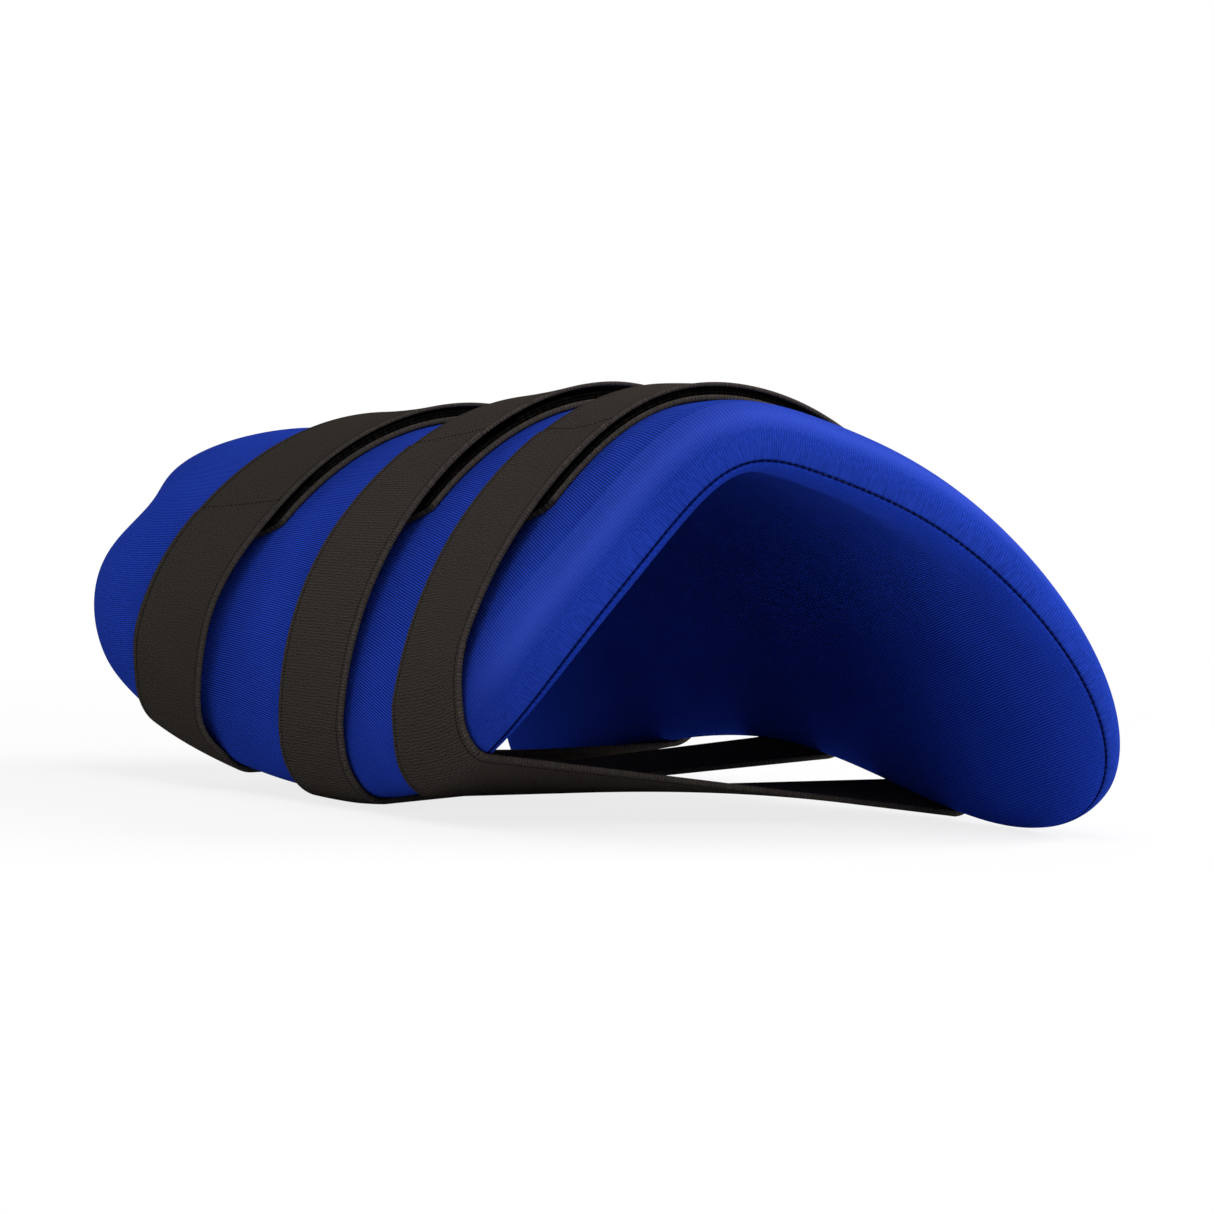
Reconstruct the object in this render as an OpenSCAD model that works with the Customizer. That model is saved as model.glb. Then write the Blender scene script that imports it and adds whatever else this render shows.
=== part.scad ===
// Padded forearm guard: a foam gutter in a sewn cloth cover, closed on the arm by three elastic straps.
// X runs across the arm, Y along it with the elbow end at -Y, and Z up. The forearm lies in the
// channel that opens downwards, and the guard rests on the lobes of its sides and its middle strap.
// Every layer and strap is worked out from one curved middle surface, the arch of the pad.

/* [Pad outline] */
// Length of the pad along its centre line
pad_length = 301; // [270:1:330]
// How much further the right side runs than the centre line at the elbow end
elbow_skew = 34; // [20:0.5:50]
// How much further both sides run than the centre line at the elbow end
elbow_bow = 37; // [25:0.5:50]
// How much further the left side runs than the centre line at the wrist end
wrist_skew = 2.5; // [-20:0.5:15]
// How much further both sides run than the centre line at the wrist end
wrist_bow = 16.5; // [5:0.5:40]
// Squareness of the left corner at the elbow end, where 2 is round
elbow_left_square = 3; // [2.2:0.1:6]
// Squareness of the right corner at the elbow end
elbow_right_square = 3.4; // [2.2:0.1:6]
// Squareness of the left corner at the wrist end
wrist_left_square = 2.8; // [2.2:0.1:6]
// Squareness of the right corner at the wrist end
wrist_right_square = 4; // [2.2:0.1:6]

/* [Half width of the arch] */
// At the elbow end
elbow_half_width = 84; // [70:0.5:95]
// A third of the way from the elbow end
elbow_third_half_width = 74; // [65:0.5:85]
// A third of the way from the wrist end
wrist_third_half_width = 72.5; // [65:0.5:85]
// At the wrist end
wrist_half_width = 68; // [65:0.5:85]
// How far the sides flare at the wrist lip
wrist_flare = 13; // [0:0.5:20]
// Share by which the arch is drawn in at its crown
crown_narrowing = 0.1; // [0:0.01:0.2]

/* [Crown height of the arch] */
// At the elbow end
elbow_crown = 101.5; // [85:0.5:125]
// A third of the way from the elbow end
elbow_third_crown = 106.5; // [85:0.5:125]
// A third of the way from the wrist end
wrist_third_crown = 97.5; // [80:0.5:120]
// At the wrist end
wrist_crown = 88; // [70:0.5:115]
// How far the crown is drawn up into a ridge at the elbow end
ridge_height = 9; // [0:0.5:12]
// Angle of the ridge from the crown, left being negative
ridge_angle = -16; // [-25:0.5:0]
// Angle over which the ridge falls off
ridge_spread = 17.5; // [12:0.5:30]
// How far the crown lifts at the wrist lip
wrist_lift = 4.5; // [0:0.5:10]

/* [Springing height of the arch] */
// At the elbow end
elbow_spring = -6; // [-20:0.5:30]
// A third of the way from the elbow end
elbow_third_spring = 11.5; // [-10:0.5:35]
// A third of the way from the wrist end
wrist_third_spring = 23; // [-10:0.5:35]
// At the wrist end
wrist_spring = 9; // [-15:0.5:35]

/* [Sideways sweep of the arch] */
// At the elbow end
elbow_shift = -5.5; // [-25:0.5:25]
// A third of the way from the elbow end
elbow_third_shift = 8.5; // [-25:0.5:25]
// A third of the way from the wrist end
wrist_third_shift = 7.5; // [-25:0.5:25]
// At the wrist end
wrist_shift = -18.5; // [-25:0.5:25]

/* [Wrap of the sides, in degrees from the crown] */
// Left side at the elbow end
elbow_left_wrap = 76; // [70:0.5:115]
// Left side a third of the way from the elbow end
elbow_third_left_wrap = 88.5; // [75:0.5:115]
// Left side a third of the way from the wrist end
wrist_third_left_wrap = 103; // [75:0.5:115]
// Left side at the wrist end
wrist_left_wrap = 79; // [65:0.5:110]
// Right side at the elbow end
elbow_right_wrap = 92.5; // [80:0.5:110]
// Right side a third of the way from the elbow end
elbow_third_right_wrap = 92.5; // [75:0.5:115]
// Right side a third of the way from the wrist end
wrist_third_right_wrap = 102; // [75:0.5:115]
// Right side at the wrist end
wrist_right_wrap = 137.5; // [115:0.5:147.5]

/* [Padding] */
// Padding outside the seam line
outer_pad = 12.5; // [10:0.5:20]
// Padding inside the seam line, against the arm
inner_pad = 5.5; // [3:0.5:8]
// Length over which the padding rounds down to the seam
edge_round = 15; // [10:0.5:20]
// Thickness of the cover cloth with its backing
cover_cloth = 1.2; // [0.8:0.1:2]
// Thickness of the lining cloth with its backing
lining_cloth = 1.2; // [0.8:0.1:2]

/* [Rest] */
// Roll to the left that sets the guard down on its lowest three places
rest_roll = 3.6; // [-10:0.1:10]
// Pitch towards the elbow end that sets it down
rest_pitch = 2.6; // [-10:0.1:10]

/* [Straps] */
// Width of the elastic webbing
strap_width = 40; // [30:1:50]
// Place of the wrist strap, in lengths of the pad from its middle towards the wrist end
wrist_strap_place = 0.276; // [0.26:0.001:0.305]
// Place of the middle strap
middle_strap_place = 0.012; // [-0.02:0.0005:0.04]
// Place of the elbow strap
elbow_strap_place = -0.228; // [-0.25:0.001:-0.2]
// Thickness of the elastic webbing
band_thick = 1.4; // [1:0.1:2.5]
// Thickness of the loop facing on the band's upper end
loop_thick = 0.8; // [0.6:0.1:1.5]
// Thickness of the hook facing under the tab
hook_thick = 0.6; // [0.5:0.1:1.5]
// Thickness of the tab's webbing
tab_thick = 1; // [0.8:0.1:2]
// Facing angle of the wrist strap where its tab is sewn on, from the right side over the crown
wrist_seam_angle = 135; // [120:1:136]
// Facing angle of the middle strap's seam
middle_seam_angle = 123; // [110:1:135]
// Facing angle of the elbow strap's seam
elbow_seam_angle = 123; // [110:1:135]
// Facing angle of a band's upper end, which runs on under the seam
band_end_angle = 140; // [139:1:155]
// Facing angle at a tab's free end
tab_end_angle = 48; // [30:1:75]
// Angle by which the hook facing starts past the seam
hook_setback = 8; // [5:1:14]
// Angle by which the hook facing stops short of the tab's free end
hook_margin = 4; // [2:0.5:10]
// Angle over which the band settles from the tab onto the cover
settle_angle = 44; // [25:1:60]
// How far the round ends of the tab and the band draw in at their corners
end_round = 12; // [4:1:18]

/* [Fits] */
// Room left at each side of the seam between cover and lining
seam_gap = 0.15; // [0.1:0.05:0.4]
// Room between the foam and the cloth round it
foam_gap = 0.5; // [0.4:0.05:0.8]
// Room between the cover and a strap
strap_gap = 1; // [0.9:0.05:1.2]
// Room between layers of a strap that are sewn together
layer_gap = 0.3; // [0.2:0.05:0.5]
// Room between the band's start and the tab, where the stitches hold them
seam_slit = 0.6; // [0.4:0.05:0.9]
// Room between the hook facing and the loop facing, which come apart
grip_gap = 0.5; // [0.4:0.05:0.8]

/* [Hidden] */

// Facets: rings of the pad from its middle to the shoulder, rings round the edge, and strap steps
flat_rings = 8;
edge_rings = 4;
rings = flat_rings + edge_rings;
side = 2*rings + 1;
strap_lines = 6;
section_steps = 96;
fine_steps = 240;
// Length along a strap that counts as much as one degree of turn when its facets are spread
turn_weight = 0.8;
// Share of a half circle that the round end of a strap takes in
round_share = 0.98;
// Steps of the search for the seam along a line across the pad
halvings = 24;

cloth_blue = [0.10, 0.15, 0.62];
lining_blue = [0.07, 0.10, 0.45];
foam_grey = [0.75, 0.75, 0.72];
webbing_black = [0.13, 0.12, 0.11];
pile_black = [0.07, 0.07, 0.07];

half_widths = [elbow_half_width, elbow_third_half_width, wrist_third_half_width, wrist_half_width];
crowns = [elbow_crown, elbow_third_crown, wrist_third_crown, wrist_crown];
springs = [elbow_spring, elbow_third_spring, wrist_third_spring, wrist_spring];
shifts = [elbow_shift, elbow_third_shift, wrist_third_shift, wrist_shift];
left_wraps = [elbow_left_wrap, elbow_third_left_wrap, wrist_third_left_wrap, wrist_left_wrap];
right_wraps = [elbow_right_wrap, elbow_third_right_wrap, wrist_third_right_wrap, wrist_right_wrap];

half_length = pad_length/2;
// Length of the pad, from its middle to the seam, that one unit of the unfolded outline stands for
outline_scale = 0.375*pad_length;
// Station, counted 0 to 3 from the elbow end of the centre line, at which the wrist lip starts
lip_start = 2.175;

// Stations between which the ridge at the elbow end rises
ridge_full = 0.1;
ridge_start = 0.9;

// Smooth curve through four values at stations 0 to 3
function through(values, t) =
    -values[0]*(t - 1)*(t - 2)*(t - 3)/6
    + values[1]*t*(t - 2)*(t - 3)/2
    - values[2]*t*(t - 1)*(t - 3)/2
    + values[3]*t*(t - 1)*(t - 2)/6;

function clamp(x, low, high) = min(max(x, low), high);

function smooth(t) = let (s = clamp(t, 0, 1)) s*s*(3 - 2*s);

function mix(a, b, t) = a + (b - a)*t;

// Running sums of a list, from 0
function sums(list) = [
    for (k = 0, sum = 0; k <= len(list); sum = sum + (k < len(list) ? list[k] : 0), k = k + 1) sum
];

// Station of a place along the arm
function station(y) = 1.5*(y/half_length + 1);

// Share of the wrist lip's lift and flare reached at a station
function lip(t) = pow(max(0, t - lip_start)/(3 - lip_start), 2);

// Height of the ridge at a station: a bell across the arch, which rises towards the elbow end
function ridge(phi, t) =
    ridge_height*smooth((ridge_start - t)/(ridge_start - ridge_full))
    *exp(-pow((phi - ridge_angle)/ridge_spread, 2));

// The arch, the pad's middle surface: phi is the angle from the crown, y the place along the arm
function arch(phi, y) =
    let (
        t = station(y),
        spring = through(springs, t),
        rise = through(crowns, t) + wrist_lift*lip(t) - spring,
        half = (through(half_widths, t) + wrist_flare*lip(t))*(1 - crown_narrowing*pow(cos(phi), 2))
    )
    [through(shifts, t) + half*sin(phi), y, spring + rise*cos(phi) + ridge(phi, t)];

// Unit normal of the arch, away from the arm
function outward(phi, y) =
    let (
        d = 0.2,
        across = arch(phi + d, y) - arch(phi - d, y),
        ahead = arch(phi, y + d) - arch(phi, y - d),
        n = cross(across, ahead)
    )
    n/norm(n);

// How much further the pad runs at u across than on its centre line, at the end that v is nearer to
function run_on(u, v) = v < 0 ? elbow_skew*u + elbow_bow*u*u : -wrist_skew*u + wrist_bow*u*u;

// Angle from the crown to the seam at v along the pad
function wrap(u, v) = through(u < 0 ? left_wraps : right_wraps, 1.5*(v + 1));

// Unfolded outline: u from -1 to 1 across and v from -1 to 1 along give [angle from the crown, y]
function unfold(u, v) = [u*wrap(u, v), v*(half_length + run_on(u, v))];

function squareness(u, v) =
    v < 0
        ? (u < 0 ? elbow_left_square : elbow_right_square)
        : (u < 0 ? wrist_left_square : wrist_right_square);

// 0 in the middle of the unfolded outline and 1 on the seam
function reach(u, v) =
    let (n = squareness(u, v))
    pow(pow(abs(u), n) + pow(abs(v), n), 1/n);

// Point at u, v, raised from the arch by lift where the padding is full
function skin(u, v, lift, fullness) =
    let (at = unfold(u, v), base = sign(lift)*seam_gap)
    arch(at[0], at[1]) + outward(at[0], at[1])*(base + (lift - base)*fullness);

// Angle round the padded edge of ring m, from 90 at the shoulder to 0 at the seam
function edge_angle(m) = 90*min(1, (rings - m)/edge_rings);

// Distance of ring m from the middle, for a layer that lies inset below the cover's face
function ring_reach(m, inset) =
    m <= flat_rings
        ? m/flat_rings*(1 - edge_round/outline_scale)
        : 1 - (inset + (edge_round - inset)*(1 - cos(edge_angle(m))))/outline_scale;

// Layer of the pad as a square grid of points, whose rings follow the seam's outline
function layer(lift, inset) = [
    for (j = [-rings:rings], i = [-rings:rings])
        let (
            m = max(abs(i), abs(j)),
            q = m == 0 ? [0, 0] : [i, j]*(ring_reach(m, inset)/reach(i, j))
        )
        skin(q[0], q[1], lift, sin(edge_angle(m)))
];

cover_face = layer(outer_pad, 0);
lining_face = layer(-inner_pad, 0);

// Line y across the pad: v of the line at u, and the u at which it meets the seam, found by halving
function line_v(u, y) = y/(half_length + run_on(u, y));
function line_end(y, inside, outside, left) =
    let (u = (inside + outside)/2)
    left == 0
        ? inside
        : reach(u, line_v(u, y)) < 1
            ? line_end(y, u, outside, left - 1)
            : line_end(y, inside, u, left - 1);

function fullness_at(u, v) =
    let (short = 1 - clamp((1 - reach(u, v))*outline_scale/edge_round, 0, 1))
    sqrt(1 - short*short);

// Section of the cover's face at y, as [x, z] points from the left seam over the crown to the right
function section(y) =
    let (left = line_end(y, 0, -1, halvings), right = line_end(y, 0, 1, halvings))
    [
        for (k = [0:section_steps])
            let (
                u = mix(left, right, (1 - cos(180*k/section_steps))/2),
                v = line_v(u, y),
                p = skin(u, v, outer_pad, fullness_at(u, v))
            )
            [p[0], p[2]]
    ];

// Furthest point of a section towards angle a: a taut strap touches the cover there. It is the top
// of the curve through the furthest of the section's points and the two next to it
function touch(points, a) =
    let (
        along = points*[cos(a), sin(a)],
        m = clamp(search(max(along), along)[0], 1, len(points) - 2),
        bend = along[m - 1] - 2*along[m] + along[m + 1],
        t = bend < 0 ? clamp((along[m - 1] - along[m + 1])/(2*bend), -1, 1) : 0
    )
    points[m] + t/2*(points[m + 1] - points[m - 1]) + t*t/2*(points[m - 1] - 2*points[m] + points[m + 1]);

// Heights of the strap layers above the cover
band_base = strap_gap;
loop_base = band_base + band_thick + layer_gap;
hook_base = loop_base + loop_thick + grip_gap;
tab_base = hook_base + hook_thick + layer_gap;

// Facing angles at which the pieces of a strap end, from the band's upper end round to the seam, and
// the number of facets from each to the next
function knots(seam) = [
    360 + band_end_angle, 360 + seam, 360 + seam - hook_setback,
    360 + tab_end_angle + hook_margin, 360 + tab_end_angle, 360 + tab_end_angle - hook_margin, seam
];
knot_steps = [3, 2, 11, 1, 1, 40];
knot_index = sums(knot_steps);

// The pieces of a strap, as [first knot, last knot, 1 for a round first end, 1 for a round last end,
// 1 for a piece that settles from the tab's height onto the cover, room at the first end]
band_piece = [0, 6, 1, 0, 1, 0];
loop_piece = [0, 5, 1, 0, 0, 0];
hook_piece = [2, 3, 0, 1, 0, 0];
tab_piece = [1, 4, 0, 1, 0, seam_slit];

// One line of a taut strap at y, as [y, places of its facets, and tables of x, z and facing angle by
// place]. A place counts the length and, so that tight bends get their share of facets, the turn
function strap_line(y, seam) =
    let (
        points = section(y),
        stops = knots(seam),
        turns = [for (k = [0:fine_steps]) mix(stops[0], seam, k/fine_steps)],
        at = [for (a = turns) touch(points, a)],
        share = turn_weight*(stops[0] - seam)/fine_steps,
        places = sums([for (k = [1:fine_steps]) norm(at[k] - at[k - 1]) + share]),
        by_turn = [for (k = [0:fine_steps]) [-turns[k], places[k]]],
        ends = [for (a = stops) lookup(-a, by_turn)],
        facets = [
            for (n = [0:len(knot_steps) - 1], i = [0:knot_steps[n] - 1])
                mix(ends[n], ends[n + 1], i/knot_steps[n])
        ]
    )
    [
        y,
        concat(facets, places[fine_steps]),
        [for (k = [0:fine_steps]) [places[k], at[k][0]]],
        [for (k = [0:fine_steps]) [places[k], at[k][1]]],
        [for (k = [0:fine_steps]) [places[k], turns[k]]]
    ];

// One strap, as its lines across the width
function strap(y, seam) = [
    for (k = [0:strap_lines]) strap_line(y + strap_width*(k/strap_lines - 0.5), seam)
];

wrist_strap = strap(wrist_strap_place*pad_length, wrist_seam_angle);
middle_strap = strap(middle_strap_place*pad_length, middle_seam_angle);
elbow_strap = strap(elbow_strap_place*pad_length, elbow_seam_angle);
straps = [wrist_strap, middle_strap, elbow_strap];

// How far a round end is drawn in at line k of a strap, at a place short of the end
function drawn_in(k, short) =
    let (s = round_share*(2*k/strap_lines - 1))
    end_round*(1 - sqrt(1 - s*s))*max(0, 1 - short/(2*end_round));

// How far the band stands off: it starts at the tab's height and settles on the cover past its own
// upper end, which lies under it
function stand_off(a) = (tab_base - band_base)*(1 - smooth((a - band_end_angle)/settle_angle));

// Grid of points on a strap for a piece of it at height h
function strap_points(strap, piece, h) =
    let (first = knot_index[piece[0]], last = knot_index[piece[1]])
    [
        for (k = [0:strap_lines], i = [first:last])
            let (
                line = strap[k],
                from_first = line[1][i] - line[1][first],
                to_last = line[1][last] - line[1][i],
                drawn = piece[2]*drawn_in(k, from_first) - piece[3]*drawn_in(k, to_last),
                place = line[1][i] + drawn + (i == first ? piece[5] : 0),
                a = lookup(place, line[4]),
                up = h + piece[4]*stand_off(a)
            )
            [lookup(place, line[2]) + up*cos(a), line[0], lookup(place, line[3]) + up*sin(a)]
    ];

// Turn that sets the guard down level, and the origin in the middle of its underside
rest_turn =
    [[1, 0, 0], [0, cos(rest_pitch), -sin(rest_pitch)], [0, sin(rest_pitch), cos(rest_pitch)]]
    * [[cos(rest_roll), 0, -sin(rest_roll)], [0, 1, 0], [sin(rest_roll), 0, cos(rest_roll)]];
band_faces = [for (s = straps) each strap_points(s, band_piece, band_base + band_thick)];
tab_faces = [for (s = straps) each strap_points(s, tab_piece, tab_base + tab_thick)];
level = [for (p = concat(cover_face, lining_face, band_faces, tab_faces)) rest_turn*p];
low_corner = [for (k = [0:2]) min([for (p = level) p[k]])];
high_corner = [for (k = [0:2]) max([for (p = level) p[k]])];
origin = [(low_corner[0] + high_corner[0])/2, (low_corner[1] + high_corner[1])/2, low_corner[2]];

// Border of a grid of rows of the given length, counted anticlockwise from above
function border(cols, rows) = concat(
    [for (i = [0:cols - 2]) i],
    [for (j = [0:rows - 2]) j*cols + cols - 1],
    [for (i = [cols - 1:-1:1]) (rows - 1)*cols + i],
    [for (j = [rows - 1:-1:1]) j*cols]
);

// Closed solid between two grids of points, the upper one seen from above with rows along +X
module slab(over, under, cols) {
    rows = len(over)/cols;
    rim = border(cols, rows);
    low = len(over);
    top = [
        for (j = [0:rows - 2], i = [0:cols - 2])
            let (
                a = j*cols + i,
                b = a + 1,
                c = a + cols,
                d = c + 1,
                from_corner = (2*i < cols - 1) == (2*j < rows - 1)
            )
            each from_corner ? [[a, c, d], [a, d, b]] : [[a, c, b], [b, c, d]]
    ];
    bottom = [for (f = top) [f[2] + low, f[1] + low, f[0] + low]];
    wall = [
        for (k = [0:len(rim) - 1])
            let (a = rim[k], b = rim[(k + 1) % len(rim)])
            each [[a, b, b + low], [a, b + low, a + low]]
    ];
    points = [for (p = concat(over, under)) rest_turn*p - origin];
    polyhedron(points, concat(top, bottom, wall));
}

module foam_core() {
    outer_inset = cover_cloth + foam_gap;
    inner_inset = lining_cloth + foam_gap;
    color(foam_grey)
        slab(layer(outer_pad - outer_inset, outer_inset), layer(-inner_pad + inner_inset, outer_inset), side);
}

module outer_cover() {
    color(cloth_blue) slab(cover_face, layer(outer_pad - cover_cloth, cover_cloth), side);
}

module inner_lining() {
    color(lining_blue) slab(layer(-inner_pad + lining_cloth, lining_cloth), lining_face, side);
}

// Piece of a strap between two heights
module strap_piece(strap, piece, base, thick) {
    over = strap_points(strap, piece, base + thick);
    under = strap_points(strap, piece, base);
    slab(over, under, len(over)/(strap_lines + 1));
}

module band(strap) {
    color(webbing_black) strap_piece(strap, band_piece, band_base, band_thick);
}

module loop_facing(strap) {
    color(pile_black) strap_piece(strap, loop_piece, loop_base, loop_thick);
}

module hook_facing(strap) {
    color(pile_black) strap_piece(strap, hook_piece, hook_base, hook_thick);
}

module tab(strap) {
    color(webbing_black) strap_piece(strap, tab_piece, tab_base, tab_thick);
}

module wrist_band() band(wrist_strap);
module wrist_loop_facing() loop_facing(wrist_strap);
module wrist_hook_facing() hook_facing(wrist_strap);
module wrist_tab() tab(wrist_strap);
module middle_band() band(middle_strap);
module middle_loop_facing() loop_facing(middle_strap);
module middle_hook_facing() hook_facing(middle_strap);
module middle_tab() tab(middle_strap);
module elbow_band() band(elbow_strap);
module elbow_loop_facing() loop_facing(elbow_strap);
module elbow_hook_facing() hook_facing(elbow_strap);
module elbow_tab() tab(elbow_strap);

foam_core();
outer_cover();
inner_lining();
wrist_band();
wrist_loop_facing();
wrist_hook_facing();
wrist_tab();
middle_band();
middle_loop_facing();
middle_hook_facing();
middle_tab();
elbow_band();
elbow_loop_facing();
elbow_hook_facing();
elbow_tab();
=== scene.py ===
"""Dressed model of a padded forearm guard: a sewn, foam-filled gutter with three elastic straps.

Lengths are in millimetres until a point is set down in the part's frame, which is in metres: X across the
arm, Y along it with the elbow end at -Y, Z up.
"""

import logging
import math
from dataclasses import dataclass, field
from enum import Enum

import bpy
import numpy as np
from mathutils import Matrix, Vector

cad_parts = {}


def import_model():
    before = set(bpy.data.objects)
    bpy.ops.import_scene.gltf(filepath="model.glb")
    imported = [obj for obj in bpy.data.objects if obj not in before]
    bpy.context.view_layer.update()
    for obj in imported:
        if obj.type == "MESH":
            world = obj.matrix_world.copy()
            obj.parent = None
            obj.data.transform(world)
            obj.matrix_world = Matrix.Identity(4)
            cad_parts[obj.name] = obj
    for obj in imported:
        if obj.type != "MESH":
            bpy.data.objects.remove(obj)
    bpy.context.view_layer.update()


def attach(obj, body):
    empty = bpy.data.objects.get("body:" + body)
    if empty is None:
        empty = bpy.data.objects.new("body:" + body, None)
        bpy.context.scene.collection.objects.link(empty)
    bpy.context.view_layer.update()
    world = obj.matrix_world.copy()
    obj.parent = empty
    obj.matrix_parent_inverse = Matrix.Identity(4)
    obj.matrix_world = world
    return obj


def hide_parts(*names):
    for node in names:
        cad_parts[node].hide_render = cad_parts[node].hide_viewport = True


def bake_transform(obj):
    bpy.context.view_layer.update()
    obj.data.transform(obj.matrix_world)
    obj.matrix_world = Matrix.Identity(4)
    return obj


LOG = logging.getLogger("forearm_guard")
MM = 0.001
Array = np.ndarray
Four = tuple[float, float, float, float]
Colour = tuple[float, float, float]


def through(values: Four, t: Array) -> Array:
    """Smooth curve through four values: the cubic that meets them at stations 0, 1, 2 and 3.

    Args:
        values: the four values.
        t: stations at which the curve is wanted.

    Returns:
        The curve's values.
    """
    a, b, c, d = values
    return (
        -a * (t - 1) * (t - 2) * (t - 3) / 6
        + b * t * (t - 2) * (t - 3) / 2
        - c * t * (t - 1) * (t - 3) / 2
        + d * t * (t - 1) * (t - 2) / 6
    )


def smooth(t: Array) -> Array:
    """Step from 0 to 1 with level ends: 3 s squared less 2 s cubed, s being t held between 0 and 1."""
    s = np.clip(t, 0.0, 1.0)
    return s * s * (3 - 2 * s)


def linear(colour: Colour) -> Four:
    """Scene-linear colour of an sRGB colour given from 0 to 255.

    Args:
        colour: red, green and blue from 0 to 255.

    Returns:
        Red, green, blue and an alpha of 1.
    """
    c = np.array(colour) / 255.0
    low, high = c / 12.92, ((c + 0.055) / 1.055) ** 2.4
    r, g, b = np.where(c <= 0.04045, low, high)
    return (float(r), float(g), float(b), 1.0)


def unit(vectors: Array) -> Array:
    """Vectors scaled to a length of 1."""
    return vectors / np.linalg.norm(vectors, axis=-1, keepdims=True)


def square_to(vectors: Array, axes: Array) -> Array:
    """Vectors less their part along unit axes, scaled to a length of 1."""
    return unit(vectors - (vectors * axes).sum(-1, keepdims=True) * axes)


def running(steps: Array) -> Array:
    """Sums of steps from the first on, beginning with 0."""
    return np.concatenate([[0.0], np.cumsum(steps)])


def lengths_round(ring: Array) -> Array:
    """Lengths along a closed line at each of its points, and last its full length."""
    return running(np.linalg.norm(np.roll(ring, -1, 0) - ring, axis=1))


def bearing(azimuth: float, elevation: float) -> Vector:
    """Unit vector to a side and height in degrees, 0 being the elbow end and positive to the right."""
    a, e = math.radians(azimuth), math.radians(elevation)
    return Vector((math.sin(a) * math.cos(e), -math.cos(a) * math.cos(e), math.sin(e)))


def linked(name: str, data: bpy.types.ID) -> bpy.types.Object:
    """New object that shows a mesh, lamp or camera, linked to the scene.

    Args:
        name: the object's name.
        data: the mesh, lamp or camera.

    Returns:
        The object.
    """
    made = bpy.data.objects.new(name, data)
    bpy.context.scene.collection.objects.link(made)
    return made


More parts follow.
